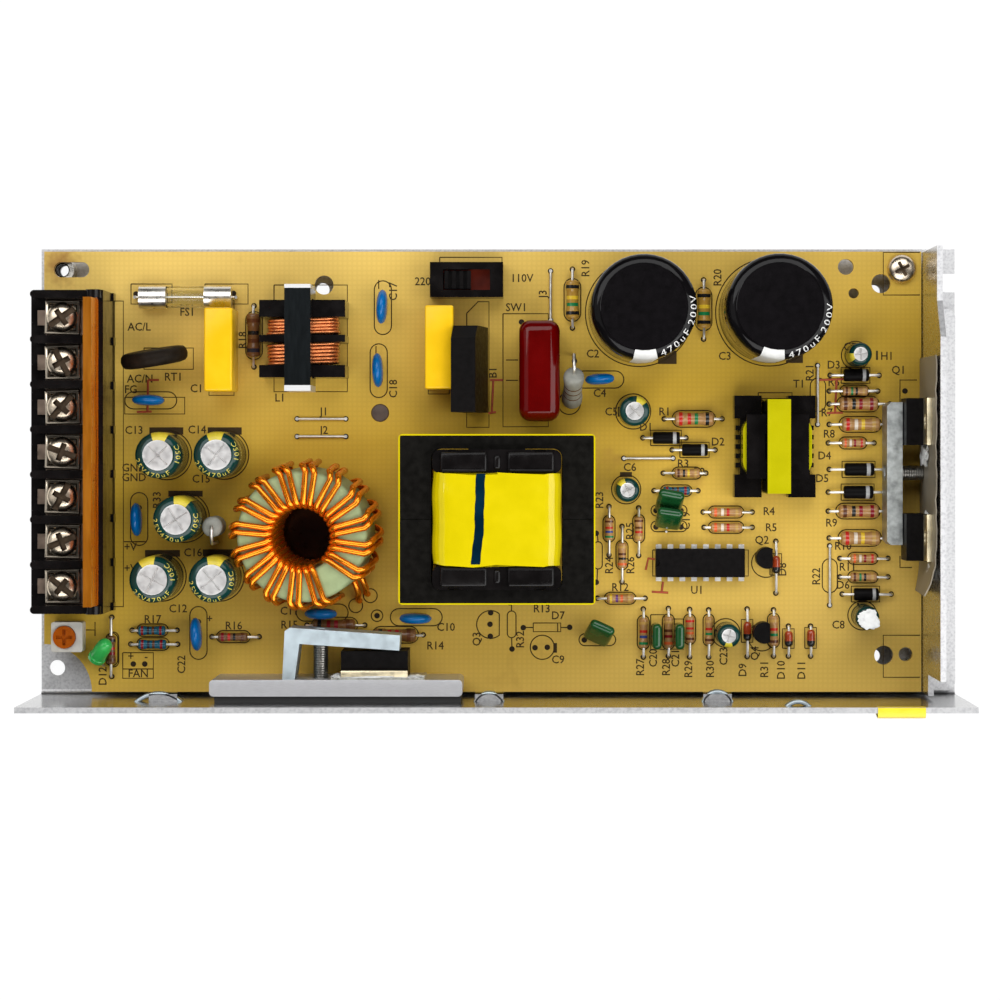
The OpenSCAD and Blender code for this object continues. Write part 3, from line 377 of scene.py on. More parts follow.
# name, colour, roughness, spread, grain, bump, shine
black_gloss = finish("black_moulding", (0.006, 0.005, 0.005), 0.16, 0.3, 300, 0.06, 0.2)
black_matt = finish("black_epoxy", (0.0045, 0.0038, 0.0038), 0.42, 0.25, 900, 0.25, 0.06)
black_sleeve = finish("black_sleeve", (0.004, 0.0035, 0.004), 0.09, 0.3, 200, 0.05, 0.18)
ferrite = finish("ferrite", (0.0055, 0.005, 0.0042), 0.36, 0.3, 700, 0.3, 0.06)
aluminium = finish("milled_aluminium", (0.7, 0.7, 0.72), 0.5, 0.06, 900, 0.12, metal=1.0, stretch=(1, 8, 8))
zinc = plating("zinc_plate", (0.42, 0.44, 0.43), 0.46, 0.3, 700, 0.4)
bright_zinc = plating("bright_zinc", (0.52, 0.6, 0.64), 0.5, 0.08, 500, 0.2)
nickel = plating("nickel_plate", (0.78, 0.75, 0.68), 0.3, 0.08, 600, 0.06)
tinned = plating("tinned_lead", (0.7, 0.68, 0.64), 0.42, 0.12, 900, 0.1)
brass = plating("contact_plate", (0.24, 0.18, 0.14), 0.36, 0.1, 600, 0.1)
dark_steel = plating("dark_steel", (0.28, 0.27, 0.25), 0.35, 0.15, 900, 0.1)
# painted shade for screw slots and recesses
slot_shade = plating("slot_shade", (0.085, 0.06, 0.04), 0.4, 0.2, 900, 0.1)
copper = finish("enamelled_copper", (0.93, 0.26, 0.006), 0.22, 0.15, 350, 0.05, metal=0.85, coat=0.2)
bare_copper = finish("bare_copper", (0.72, 0.24, 0.08), 0.26, 0.2, 350, 0.05, metal=0.75)
rotor_orange = finish("rotor_orange", (0.42, 0.085, 0.001), 0.25, 0.12, 400, 0.15, 0.2)
pale_ceramic = finish("pale_ceramic", (0.6, 0.58, 0.52), 0.45, 0.1, 600)
lens_green = finish("lens_green", (0.06, 0.64, 0.13), 0.1, 0.15, 300, 0.02, through=0.25)
clear_glass = finish("clear_glass", (0.94, 0.95, 0.93), 0.05, 0.02, 200, 0.0, through=1.0)
clear_glass.node_tree.nodes["Principled BSDF"].inputs["IOR"].default_value = 1.16
red_glass = finish("red_glass", (0.35, 0.045, 0.01), 0.12, 0.25, 900, 0.02, coat=0.5)
yellow_shell = finish("yellow_shell", (0.84, 0.5, 0.007), 0.2, 0.04, 300, 0.06, 0.25)
yellow_tape = finish("yellow_tape", (0.66, 0.53, 0.001), 0.13, 0.05, 200, 0.12, 0.35, fine=3.0)
blue_dip = finish("blue_dip", (0.001, 0.115, 0.36), 0.14, 0.18, 350, 0.1, 0.3)
red_dip = finish("red_dip", (0.1, 0.0005, 0.0005), 0.07, 0.15, 220, 0.05, 0.25)
green_dip = finish("green_dip", (0.008, 0.07, 0.018), 0.12, 0.25, 350, 0.06)
red_plastic = finish("red_plastic", (0.15, 0.011, 0.001), 0.4, 0.15, 500, 0.15, 0.2)
grey_cement = finish("grey_cement", (0.26, 0.26, 0.23), 0.5, 0.1, 900, 0.3, 0.2)
dark_disc = finish("dark_disc", (0.013, 0.0095, 0.0065), 0.45, 0.25, 700, 0.3, 0.06)
ring_coat = finish("ring_coat", (0.3, 0.37, 0.19), 0.5, 0.1, 500, 0.3, 0.2)
green_sleeve = finish("green_sleeve", (0.003, 0.035, 0.03), 0.14, 0.2, 260, 0.04, 0.35)
can_top = plating("can_top", (0.62, 0.61, 0.6), 0.44, 0.08, 900, 0.15)
grey_sheet = finish("insulating_sheet", (0.28, 0.245, 0.19), 0.42, 0.15, 150, 0.2, 0.25)
paste = finish("white_paste", (0.82, 0.83, 0.82), 0.55, 0.08, 900, 0.6)
print_brown = finish("board_print", (0.045, 0.026, 0.006), 0.6, 0.2, 900, 0.15, 0.2)
# painted shade of the lead holes
hole_shade = finish("lead_hole", (0.02, 0.011, 0.003), 0.55, 0.3, 900, 0.15, 0.2)
tan_coat = finish("tan_coat", (0.42, 0.22, 0.075), 0.2, 0.1, 700, 0.05, 0.45)
brown_coat = finish("brown_coat", (0.17, 0.075, 0.025), 0.24, 0.15, 700, 0.05, 0.45)
blue_coat = finish("blue_coat", (0.008, 0.1, 0.16), 0.2, 0.15, 700, 0.05, 0.45)
# painted shade of a hole in the board
hole_shade_brown = finish("hole_shade_brown", (0.075, 0.045, 0.032), 0.5, 0.2, 700)
yellow_tan = finish("yellow_tan", (0.42, 0.23, 0.035), 0.2, 0.12, 700, 0.05, 0.45)
gold_patch = finish("gold_patch", (0.62, 0.5, 0.03), 0.4, 0.15)
gold_print = finish("gold_print", (0.62, 0.52, 0.08), 0.5, 0.12, 700)
white_print = finish("white_print", (0.74, 0.74, 0.72), 0.5, 0.08)
black_lid = finish("black_lid", (0.004, 0.0033, 0.004), 0.5, 0.3, 700, 0.3, 0.03)
stripe_ink = finish("stripe_ink", (0.0002, 0.014, 0.03), 0.3, 0.5, 160, 0.05, 0.05)
label_yellow = finish("label_yellow", (0.9, 0.68, 0.02), 0.35, 0.08, 300)
bright_nickel = plating("bright_nickel", (0.72, 0.61, 0.47), 0.26, 0.12, 500, 0.12)
mirror_nickel = plating("mirror_nickel", (0.66, 0.57, 0.45), 0.1, 0.12, 500, 0.05)
drive_yellow = finish("drive_tape", (0.47, 0.43, 0.002), 0.13, 0.05, 200, 0.12, 0.35, fine=3.0)
# painted shade for the ring choke's hole and the thread in the board's slot
painted_shade_dark = finish("painted_shade_dark", (0.007, 0.0025, 0.001), 0.3, 0.3, 400, 0.15, 0.1)
gold_tin = plating("gold_tin", (0.8, 0.7, 0.48), 0.4, 0.14, 700, 0.2)
red_marker = finish("red_marker", (0.42, 0.06, 0.012), 0.5, 0.25)
diode_band = finish("diode_band", (0.42, 0.42, 0.42), 0.45, 0.12, 700)

BANDS = {
    "k": (0.01, 0.01, 0.01), "n": (0.11, 0.035, 0.012), "r": (0.55, 0.02, 0.012), "d": (0.25, 0.005, 0.012),
    "o": (0.75, 0.13, 0.03), "y": (0.75, 0.5, 0.03), "g": (0.01, 0.2, 0.06), "u": (0.03, 0.06, 0.25),
    "v": (0.14, 0.04, 0.2), "w": (0.72, 0.62, 0.5), "a": (0.5, 0.3, 0.07), "s": (0.02, 0.02, 0.035)}
band_paint = {k: finish("band_" + k, c, 0.22, spread=0.1, grain=900, bump=0.05) for k, c in BANDS.items()}


def laminate():
    """Yellow-tan board, paler along its long edges as painted sheen, with a faint weave, stains and one rusty
    corner.
    """
    m, t, s = new_shader("board_laminate")
    v = coords(t)
    base = ramp(t, noise(t, v, 22, 5.0), (0.5, 0.3, 0.009), (0.66, 0.415, 0.022))
    # Painted sheen: the board turns paler towards its upper and its lower long edge, where the lamps' sheen
    # falls.
    for aim, low, high, tone in (((-0.2, 1.0, 0.0), 0.012, 0.056, (0.78, 0.54, 0.14, 1)),
                                 ((0.3, -1.0, 0.0), -0.005, 0.05, (0.72, 0.48, 0.1, 1))):
        along = measure(t, "DOT_PRODUCT", v, aim)
        base = blend(t, spread_range(t, along, 0.0, 0.75, low, high), base, tone)
    waves = [add(t, "ShaderNodeTexWave", {"Vector": v, "Scale": 300.0}, bands_direction=d) for d in "XY"]
    weave = maths(t, "MULTIPLY", *(w.outputs["Fac"] for w in waves))
    threads = ramp(t, weave, (0.95, 0.94, 0.92), (1.0, 1.0, 1.0), 0.0, 0.5)
    base = blend(t, 1.0, base, threads, blend_type="MULTIPLY")
    stain = ramp(t, noise(t, v, 75, 3.0), (0, 0, 0), (0.55, 0.55, 0.55), 0.68, 0.8)
    base = blend(t, stain, base, (0.36, 0.17, 0.02, 1))
    corner = measure(t, "DISTANCE", v, (-0.0945, 0.0452, 0.008))
    patchy = maths(t, "MULTIPLY_ADD", noise(t, v, 500, 4.0), 0.006, corner)
    rust = ramp(t, patchy, (0.75, 0.75, 0.75), (0, 0, 0), 0.0045, 0.0075)
    set_inputs(t, s, {"Base Color": blend(t, rust, base, (0.3, 0.12, 0.012, 1)), "Roughness": 0.5,
                      "Specular IOR Level": 0.4})
    rough_bump(t, s, weave, 0.1, 0.00005)
    return m


def grey(tone, share=1.0, blue=None):
    return (tone * share, tone * share, tone * (blue or share))


def sheet_metal(name, low, high, tone, up_tone, inner, shading_tone):
    """Rolled aluminium sheet, finely lined along its length, rougher and speckled on top; the side facing the
    given way is painted its own tone as light and shade, darker on the chassis and the long wall, a little
    paler inside the end wall.
    """
    m, t, s = new_shader(name)
    v = coords(t, (0.6, 9.0, 9.0))
    lines = noise(t, v, 260, 6.0)
    side = ramp(t, lines, grey(tone, 1.0, 1.02), grey(tone, 1.2, 1.22))
    side_shading = ramp(t, lines, grey(shading_tone), grey(shading_tone, 1.2))
    speck = ramp(t, noise(t, coords(t), 1700, 3.0), grey(up_tone, 0.78, 0.8), grey(up_tone, 1.0, 1.01),
                 0.34, 0.56)
    up = facing(t, (0, 0, 1), 0.6)
    # Painted shade: faces that look the given way take the shading tone in place of the sheet's own.
    wall = blend(t, facing(t, inner, 0.2), side, side_shading)
    rough = blend_numbers(t, up, spread_range(t, lines, low, high), spread_range(t, lines, 0.45, 0.6))
    set_inputs(t, s, {"Base Color": blend(t, up, wall, speck), "Roughness": rough, "Metallic": 1.0})
    rough_bump(t, s, noise(t, v, 900, 3.0), 0.12, 0.00008)
    return m


def ended(name, middle, ends, low, high, metal=0.9):
    """Streaked middle with plain ends, told apart by the place along Y in mm."""
    m, t, s = new_shader(name)
    along = measure(t, "DOT_PRODUCT", coords(t), (0, 1, 0))
    end = maths(t, "MAXIMUM", maths(t, "GREATER_THAN", along, high * MM),
                maths(t, "LESS_THAN", along, low * MM))
    streak = ramp(t, noise(t, coords(t, (6, 1, 1)), 260, 5.0), tuple(c * 0.6 for c in middle), middle)
    set_inputs(t, s, {"Base Color": blend(t, end, streak, (*ends, 1)), "Metallic": metal,
                      "Roughness": blend_numbers(t, end, 0.2, 0.5)})
    return m


def cover_plastic():
    """Clear orange plastic, painted a bright lit orange on its upright faces and a darker amber along the top
    edge, as light and shade.
    """
    m, t, s = new_shader("cover_clear_orange")
    streak = noise(t, coords(t, (1, 0.15, 1)), 700, 3.0)
    side = ramp(t, streak, (0.74, 0.15, 0.0005), (0.84, 0.19, 0.001))
    edge = ramp(t, streak, (0.25, 0.075, 0.003), (0.38, 0.13, 0.008))
    # Painted light and shade: upright faces bright, the top edge darker.
    set_inputs(t, s, {"Base Color": blend(t, facing(t, (0, 0, 1), 0.6), side, edge),
                      "Roughness": spread_range(t, streak, 0.1, 0.2),
                      "Transmission Weight": 0.15, "Specular IOR Level": 0.35})
    return m


cad_looks = {
    # Sheets: roughness low and high, tone, top tone, then the side painted with light and shade and its tone.
    sheet_metal("rolled_sheet", 0.26, 0.42, 0.4, 0.6, (0, 1, 0), 0.19): "chassis",
    sheet_metal("long_wall_sheet", 0.1, 0.2, 0.5, 0.52, (0, 1, 0), 0.36): "long_wall",
    sheet_metal("bright_sheet", 0.2, 0.34, 0.5, 0.68, (-1, 0, 0), 0.55): "end_wall",
    ended("pad_pair", (0.55, 0.55, 0.5), (0.02, 0.02, 0.02), -46.4, 999, 0.0): "rectifier_pads",
    ended("choke_band", (0.05, 0.06, 0.065), (0.75, 0.75, 0.75), 18.9, 39.3): "choke_core",
    laminate(): "board", cover_plastic(): "terminal_cover", brass: "terminal_contacts",
    pale_ceramic: "trimmer_body", rotor_orange: "trimmer_rotor", clear_glass: "fuse_tube",
    red_plastic: "selector_insert", zinc: "clamp_bar", bright_zinc: "rectifier_clamp",
    aluminium: "spacer_bar", nickel: "board_standoffs fuse_caps", ferrite: "transformer_core drive_core",
    drive_yellow: "drive_winding drive_tape", tinned: "controller_pins jumper_wires",
    dark_steel: "clamp_screw rectifier_screw",
    black_gloss: "terminal_housing choke_bobbin selector_housing transformer_bobbin drive_bobbin",
    black_matt: "selector_slider bridge_rectifier controller_chip small_transistors power_transistors "
                "output_rectifier"}
for look, names in cad_looks.items():
    for name in names.split():
        nodes[name].data.materials.clear()
        paint(nodes[name], look)

# PIECES

# The board's print: places are in mm, or in units of the plan view that seen turns into mm

PLAN_X, PLAN_Y, PLAN_SCALE = 527, 446, 4.634    # middle of the plan view, and its units in one mm
CAMERA_X, CAMERA_Y = 6.3, 6.15                  # where that middle is, mm


def seen(x, y):
    """Place on the board, in mm, of a point of the plan view."""
    return ((x - PLAN_X) / PLAN_SCALE + CAMERA_X, (PLAN_Y - y) / PLAN_SCALE + CAMERA_Y)


def arc(cx, cy, r, a, b, n=10):
    angles = [math.radians(a + (b - a) * i / n) for i in range(n + 1)]
    return [(cx + r * math.cos(s), cy + r * math.sin(s), 0) for s in angles]


def ring(cx, cy, r, n=40):
    return arc(cx, cy, r, 0, 360, n)


def oval(cx, cy, hx, hy):
    """Closed outline with round ends, longer along X or along Y."""
    if hx >= hy:
        d = hx - hy
        p = arc(cx + d, cy, hy, -90, 90) + arc(cx - d, cy, hy, 90, 270)
    else:
        d = hy - hx
        p = arc(cx, cy + d, hx, 0, 180) + arc(cx, cy - d, hx, 180, 360)
    return p + p[:1]


def frame_line(x0, y0, x1, y1):
    return [(x0, y0, 0), (x1, y0, 0), (x1, y1, 0), (x0, y1, 0), (x0, y0, 0)]


def view_frame(x0, y0, x1, y1):
    return frame_line(*seen(x0, y0), *seen(x1, y1))


def view_oval(x0, y0, x1, y1):
    a, b = seen(x0, y0), seen(x1, y1)
    return oval((a[0] + b[0]) / 2, (a[1] + b[1]) / 2, abs(b[0] - a[0]) / 2, abs(b[1] - a[1]) / 2)


def view_line(*points):
    return [(*seen(*p), 0) for p in points]


# Parts along X: both lead ends, the row's Y, both body ends and the diameter; parts along Y start with X
diode_x = [
    (31.3, 40.6, 7.9, 33.4, 39.2, 2.6), (37.6, 46.9, 5.3, 39.7, 45.2, 2.6),
    (71.7, 82.3, 21.4, 74.5, 79.9, 2.7), (71.5, 83.6, 1.1, 74.7, 81, 2.8),
    (71.3, 83.6, -3.8, 74.5, 80.8, 2.8), (74.3, 84.9, -25.8, 76.7, 82, 2.7)]
small_x = [
    (35.7, 44.9, 0.3, 38.1, 43.5, 2), (44.3, 54.9, -8.1, 45.9, 52.6, 2), (44.5, 54.9, -11.4, 45.9, 52.6, 2),
    (71.5, 82, 18, 74.3, 79.7, 2), (71.3, 81.2, 6.8, 74.1, 79.2, 2), (73.8, 84.2, -18.1, 76, 81.6, 2),
    (73.8, 84.2, -22.1, 76, 81.6, 2), (21.5, 31.8, -26.7, 23.5, 29.3, 2),
    (-61.7, -51.5, -35, -60.2, -53.9, 2)]
large_x = [
    (35.9, 48.4, 12, 38.1, 46.5, 3), (71.5, 84.6, 15.2, 73.6, 81.8, 2.8),
    (71.5, 84.6, 10.8, 74.1, 82.3, 2.8), (71.3, 84.6, -7.9, 73.4, 82, 2.8),
    (71.5, 84.6, -13.7, 73.9, 82.3, 3), (-41.2, -28.7, -32.5, -39.7, -30.7, 2.8),
    (-28.7, -16.1, -34.6, -26.6, -17.6, 3)]
film_x = [
    (-78.9, -69.2, -33.6, -77.4, -71.6, 2.1), (-79.2, -69.1, -36.6, -77.4, -71.4, 2.1),
    (33.7, 43.2, -3.5, 35.6, 41.4, 1.9)]
glass_y = [
    (60, -25.6, -14.4, -21.3, -17.5, 1.8), (53.8, -39.3, -29, -35.8, -31.7, 1.8),
    (62.7, -39.2, -32.7, -37.1, -33.7, 1.8), (67.5, -39.2, -32.7, -37.1, -33.4, 1.8)]
small_y = [
    (24, -17.4, -6.9, -14.1, -9.3, 2), (26.8, -23.2, -11.2, -20.1, -14.7, 2),
    (30.4, -17.5, -7.2, -14.3, -9.1, 2), (31.4, -39.4, -29, -37.3, -30.9, 2),
    (36.8, -39.2, -28.9, -37.3, -30.6, 2), (41.4, -39.4, -29.1, -36.2, -30.6, 2),
    (45.5, -39.4, -29.2, -36.5, -30.6, 1.8), (59.5, -39.2, -29.2, -36.9, -30.4, 2),
    (-83.3, -43.6, -30.8, -40.8, -34.7, 2)]
large_y = [(-52.6, 23.2, 36.4, 25.3, 34.7, 3), (16.1, 31.6, 44.3, 33.5, 41.8, 3),
           (44.4, 29.2, 42, 31.5, 39.9, 3)]
# Wire links, then discs (middle, 1 if along Y, radius), drops (foot and tip) and cans
link_x = [(-43.3, -32.8, 12), (-43.3, -32.8, 8.2), (27.2, 37.8, 3.5)]
link_y = [(11.4, 33.3, 43.9), (69, 10.8, 23.5), (71.6, -28.2, -15.4)]
disc_at = [
    (-24.8, 36, 1, 3.7), (-25.7, 22.4, 1, 3.7), (-74.9, 16, 0, 3.5), (-77.4, -9.6, 1, 3.6),
    (-64.6, -34.2, 1, 3.6), (-37.9, -29.8, 0, 3.5), (-17.6, -30.8, 0, 3.5), (21.9, 20.5, 0, 3.2)]
drop_at = [
    ((36.5, -7.8, 1), (37.3, -3.8, 8)), ((36.5, -11.1, 1), (37, -7.7, 8)),
    ((34, -34.6, 1), (34.1, -34.6, 8)), ((38.9, -34.6, 1), (39, -34.6, 8)),
    ((21, -35.7, 1), (22.6, -32.2, 7.5))]
bulk_at = [(30.5, 34.9), (58.6, 35)]
output_at = [(-71.4, 4.2), (-59.1, 4.3), (-67.6, -9.3), (-72.6, -22), (-60.1, -22)]
small_at = [(29.2, 13.6, 6.4), (27.7, -3.2, 5.1), (77.2, 25.7, 4.9), (49.2, -34.2, 5), (78.7, -30.4, 5.1)]

outlines = []
holes = []
for a, b, y, p, q, d in small_x + large_x + film_x:
    outlines.append(oval((p + q) / 2, y, (q - p) / 2 + 0.5, d / 2 + 0.3))
    holes += [(a, y), (b, y)]
for x, a, b, p, q, d in small_y + large_y:
    outlines.append(oval(x, (p + q) / 2, d / 2 + 0.3, (q - p) / 2 + 0.5))
    holes += [(x, a), (x, b)]
for a, b, y, p, q, d in diode_x:
    outlines.append(frame_line(p - 0.4, y - d / 2 - 0.35, q + 0.4, y + d / 2 + 0.35))
    holes += [(a, y), (b, y)]
for x, a, b, p, q, d in glass_y:
    outlines.append(frame_line(x - d / 2 - 0.35, p - 0.4, x + d / 2 + 0.35, q + 0.4))
    holes += [(x, a), (x, b)]
for a, b, y in link_x:
    holes += [(a, y), (b, y)]
for x, a, b in link_y:
    holes += [(x, a), (x, b)]
for x, y, along_y, r in disc_at:
    outlines.append(oval(x, y, 1.85, r + 2.1) if along_y else oval(x, y, r + 2.1, 1.85))
    holes += [(x, y - 2.4), (x, y + 2.4)] if along_y else [(x - 2.4, y), (x + 2.4, y)]
for x, y in output_at:
    outlines.append(ring(x, y, 5.35))
for x, y in bulk_at:
    outlines.append(ring(x, y, 11.6, 64))
for x, y, d in small_at:
    outlines.append(ring(x, y, d / 2 + 0.6))
outlines += [view_frame(*p) for p in (
    (131, 284, 172, 304), (205, 284, 248, 304), (144, 348, 193.3, 369.3), (209, 300, 234, 395.3),
    (124.7, 397.3, 184.7, 414), (274, 285, 347.3, 391.7), (122.7, 652.7, 153.3, 678.3),
    (439.7, 257.3, 502, 297.3), (428.3, 306, 449.3, 394), (503, 313.7, 548.3, 426.7),
    (758.3, 392.7, 792, 398.7), (652.7, 550, 748.3, 576), (533.3, 623, 560.7, 631.7),
    (650.7, 614.7, 664.3, 649.3), (670, 619, 683.3, 649.3))]
outlines += [view_oval(*p) for p in (
    (810.3, 378, 825.7, 411.7), (822.3, 558.7, 837.3, 592.7), (507.3, 611, 516, 637.7),
    (579, 633.7, 615.7, 645.7), (594, 541.7, 602.3, 569), (651, 505, 687, 516), (651, 521, 687, 531.7),
    (108, 632, 118.7, 667))]
outlines += [view_line(*p) for p in (
    ((101, 301), (123.3, 301), (123.3, 606.7), (101, 606.7)), ((114.3, 301), (114.3, 606.7)),
    ((122.7, 669), (153.3, 669)), ((124, 541.7), (146, 541.7)), ((378.7, 280), (378.7, 289)),
    ((376, 346), (376, 355)), ((506, 360), (518, 360)), ((506, 380.3), (518, 380.3)),
    ((466.7, 313.3), (478, 301.7), (489, 301.7), (489, 427.3), (466.7, 427.3), (466.7, 313.3)),
    ((920, 252.3), (883.3, 252.3), (883.3, 295), (920, 295)),
    ((920, 635.3), (883.3, 635.3), (883.3, 677.3), (920, 677.3)),
    ((917, 380), (900, 380), (900, 403)), ((912, 567.5), (900, 567.5), (900, 556)),
    ((511.5, 603), (511.5, 611)), ((511.7, 637.7), (511.9, 648)), ((557.7, 623), (557.7, 631.7)),
    ((524, 627.5), (533.3, 627.5)), ((560.7, 627.5), (569, 627.5)), ((597.5, 534), (598, 541.7)),
    ((597.5, 569), (597, 581)), ((95, 622), (95, 630), (86, 630)), ((95, 630), (95, 636)))]
outlines += [ring(*seen(x, y), r, n) for x, y, r, n in (
    (569.3, 403.3, 2.4, 40), (542.3, 647.3, 2.6, 40), (377, 615.7, 1.25, 20), (370.3, 595.7, 1.5, 20),
    (355.7, 605.7, 1.5, 20))]
# rounds with one flat side, for small transistors
for flat, cx, cy, r in ((499.3, 490.5, 624.5, 3.0), (772, 766, 563, 3.1), (770, 762, 637, 3.0)):
    x, y = seen(cx, cy)
    half = math.degrees(math.acos((seen(flat, 0)[0] - x) / r))
    bow = arc(x, y, r, half, 360 - half, 24)
    outlines.append(bow + bow[:1])
holes += [seen(*p) for p in ((133.3, 664), (144.7, 664), (509.7, 602.7), (512, 649), (490.7, 612.7),
                             (490, 624.3), (490.3, 636.3), (523.3, 627.7), (569.7, 627.3), (535, 647.7),
                             (547.3, 647.3), (596.3, 533.3), (596.3, 582.3), (136, 294), (233.5, 293.5),
                             (574.5, 361), (584.3, 640), (607.3, 640), (656, 510.5), (681, 510.5),
                             (656, 527), (681, 527), (905, 391), (521.5, 322), (377, 615.7))]
LINE_WIDTH = 0.24
print_lines = tube("print_lines", outlines, LINE_WIDTH, 0)
print_lines.data.transform(at(0, 0, TOP + 0.012) @ sized(1, 1, 0.06))

# solid marks beside the polarised cans
marks = []
for x0, y0, x1, y1 in ((149.3, 427.3, 183.3, 434.7), (207.7, 427.3, 241.7, 434.7),
                       (168.3, 490.7, 202.7, 496.7), (145, 550, 180, 556.7), (202.7, 549.3, 237.3, 556),
                       (658, 350.7, 676.7, 364), (786, 350.7, 803, 363), (617.7, 406.7, 621, 416.7),
                       (876, 350.7, 878, 360), (553.3, 643, 557, 652.7), (620, 472, 632, 477),
                       (857, 603, 859, 614)):
    m = plane("mark")
    edit(m)
    bpy.ops.mesh.inset(thickness=0.05, depth=0)
    leave()
    a, b = seen(x0, y0), seen(x1, y1)
    m.data.transform(at((a[0] + b[0]) / 2, (a[1] + b[1]) / 2, TOP + 0.01)
                     @ sized(abs(b[0] - a[0]) * MM, abs(b[1] - a[1]) * MM, MM))
    marks.append(m)

# running numbers for each letter, level or turned up
labels = {
    ("FS", 0): [(-67, 35)], ("RT", 0): [(-70, 21)], ("L", 0): [(-47, 16.5)], ("SW", 0): [(4, 36)],
    ("T", 0): [(65, 19.5)], ("H", 0): [(84, 25.5)], ("U", 0): [(43, -25)], ("B", 90): [(-1, 22)],
    ("C", 0): [(-65, 18.5), (20.5, 26), (49, 25.5), (22, 17.5), (24.5, 13.5), (28.5, 1.5), (76, 27.5),
        (73.5, -32.5), (13, -40), (-11.2, -33), (-45, -29.5), (-69, -29), (-78.5, 9.5), (-64.9, 9.6),
        (-64, -1), (-65.8, -16.9)],
    ("J", 0): [(-37.5, 13.5), (-37.5, 9.5)],
    ("R", 0): [(36, 13.5), (43.5, 0.5), (40, 2.3), (58.5, -8), (59, -11.5), (72.5, 19.9), (71, 13.3),
        (71.5, 8.7), (72, -10.5), (74.5, -15.5), (75.5, -20), (26.4, -24.4), (9.5, -29), (-13.5, -37),
        (-45, -32.5), (-57, -32.7), (-74.5, -31.3)],
    ("D", 0): [(32, 10.2), (47.5, 7), (72.5, 23.6), (70.5, 4), (70, -0.9), (74.5, -23.9), (13, -30.5)],
    ("Q", 0): [(86.5, 22.5), (57, -14.2)],
    ("R", 90): [(-55, 29), (19, 44.5), (47.5, 42.5), (67.4, 22), (68.8, -22), (22, -5.5), (24.1, -19.6),
        (28.6, -12.2), (28.7, -19.6), (30.8, -41.6), (36.4, -41.6), (41.2, -42), (45.9, -42), (57.6, -42),
        (4.9, -35.6), (-73.5, -5.5)],
    ("C", 90): [(-22.5, 39.5), (-22.5, 18.5), (40.7, -10), (33.6, -39.6), (38.4, -39.6), (-68.2, -41),
        (48.8, -39.2)],
    ("J", 90): [(9.8, 39)],
    ("D", 90): [(61.5, -20.5), (52.9, -42.2), (61.2, -42.2), (65.6, -42.2), (-85.2, -43.5)],
    ("Q", 90): [(-4.5, -35.5), (55.5, -38.6)]}
texts = [
    ("AC/L", -77.4, 31.8, 0), ("AC/N", -77.2, 20.6, 0), ("FG", -79.2, 18.3, 0), ("GND", -78.5, 1.4, 0),
    ("GND", -78.5, -0.7, 0), ("+V", -79.3, -15.7, 0), ("+V", -79.3, -20.3, 0), ("220V", -15.5, 41.6, 0),
    ("110V", 5.2, 42.3, 0), ("FAN", -77.6, -43, 0), ("+", -79.2, -39.3, 0), ("-", -75.9, -39.3, 0),
    ("+", -62.2, -31.2, 0)]
count = {}
for (prefix, angle), places in labels.items():
    for x, y in places:
        count[prefix] = count.get(prefix, 0) + 1
        texts.append(("%s%d" % (prefix, count[prefix]), x, y, angle))
LETTER_SIZE, BOLD, NARROW = 2.45, 0.03, sized(0.95, 1, 1)
lettering = [moved(letter(body, LETTER_SIZE, BOLD), at(x, y, TOP + 0.014) @ turn(angle, "Z") @ NARROW)
             for body, x, y, angle in texts]
dress(joined("board_print", [print_lines] + marks + lettering), [print_brown], smooth=0)

# Painted shade: a dark disc round each lead, where the hole in the board lies in shade.
pad = lathe("lead_hole", [(0, 0.03), (0.42, 0.03), (0.62, 0)], 12)
spots = [at(x, y, TOP + 0.004) @ turn(random.uniform(0, 30), "Z") for x, y in holes]
dress(joined("lead_holes", copies(pad, spots)), [hole_shade])
# Painted shade: a brown disc where a hole in the board shows the base in shade.
hole_shade_disc = lathe("board_hole_shade", [(0, 0.5), (1.2, 0.47), (1.75, 0.3), (1.95, 0)], 28, at(-25.4, 13.3, TOP))
dress(hole_shade_disc, [hole_shade_brown])

# Axial parts: one body of unit size, painted by rings, then copied and sized for each place

def axial_body(name, profile, rings):
    """Lathed unit body; each (low, high, slot) of its length takes that paint slot."""
    obj = lathe(name, profile, 18)
    for low, high, slot in rings:
        paint_faces(obj, slot, lambda c, now: low <= c.z <= high)
    return obj


def axial(name, body, along_x, along_y, paints, replaces):
    places = []
    paths = []
    for i, row in enumerate(along_x + along_y):
        flat = i < len(along_x)
        a, b, across, p, q, d = row if flat else (*row[1:3], row[0], *row[3:])
        z = TOP + d / 2 + 0.2
        spin = turn(random.uniform(0, 360), "Z")
        place = at(p, across, z) @ turn(90, "Y") if flat else at(across, p, z) @ turn(-90, "X")
        places.append(place @ spin @ sized(d, d, q - p))
        for end, inner, s in ((a, p, 1), (b, q, -1)):
            line = [(end, SUNK), (end, z - 0.5), (end + 0.15 * s, z - 0.14), (end + 0.5 * s, z),
                    (inner + 0.25 * s, z)]
            paths.append([(u, across, w) if flat else (across, u, w) for u, w in line])
    parts = [paint(c, *looks) for c, looks in zip(copies(body, places), paints)]
    leads = paint(tube(name + "_leads", paths, LEAD), tinned)
    return dress(joined(name, parts + [leads]), None, replaces)


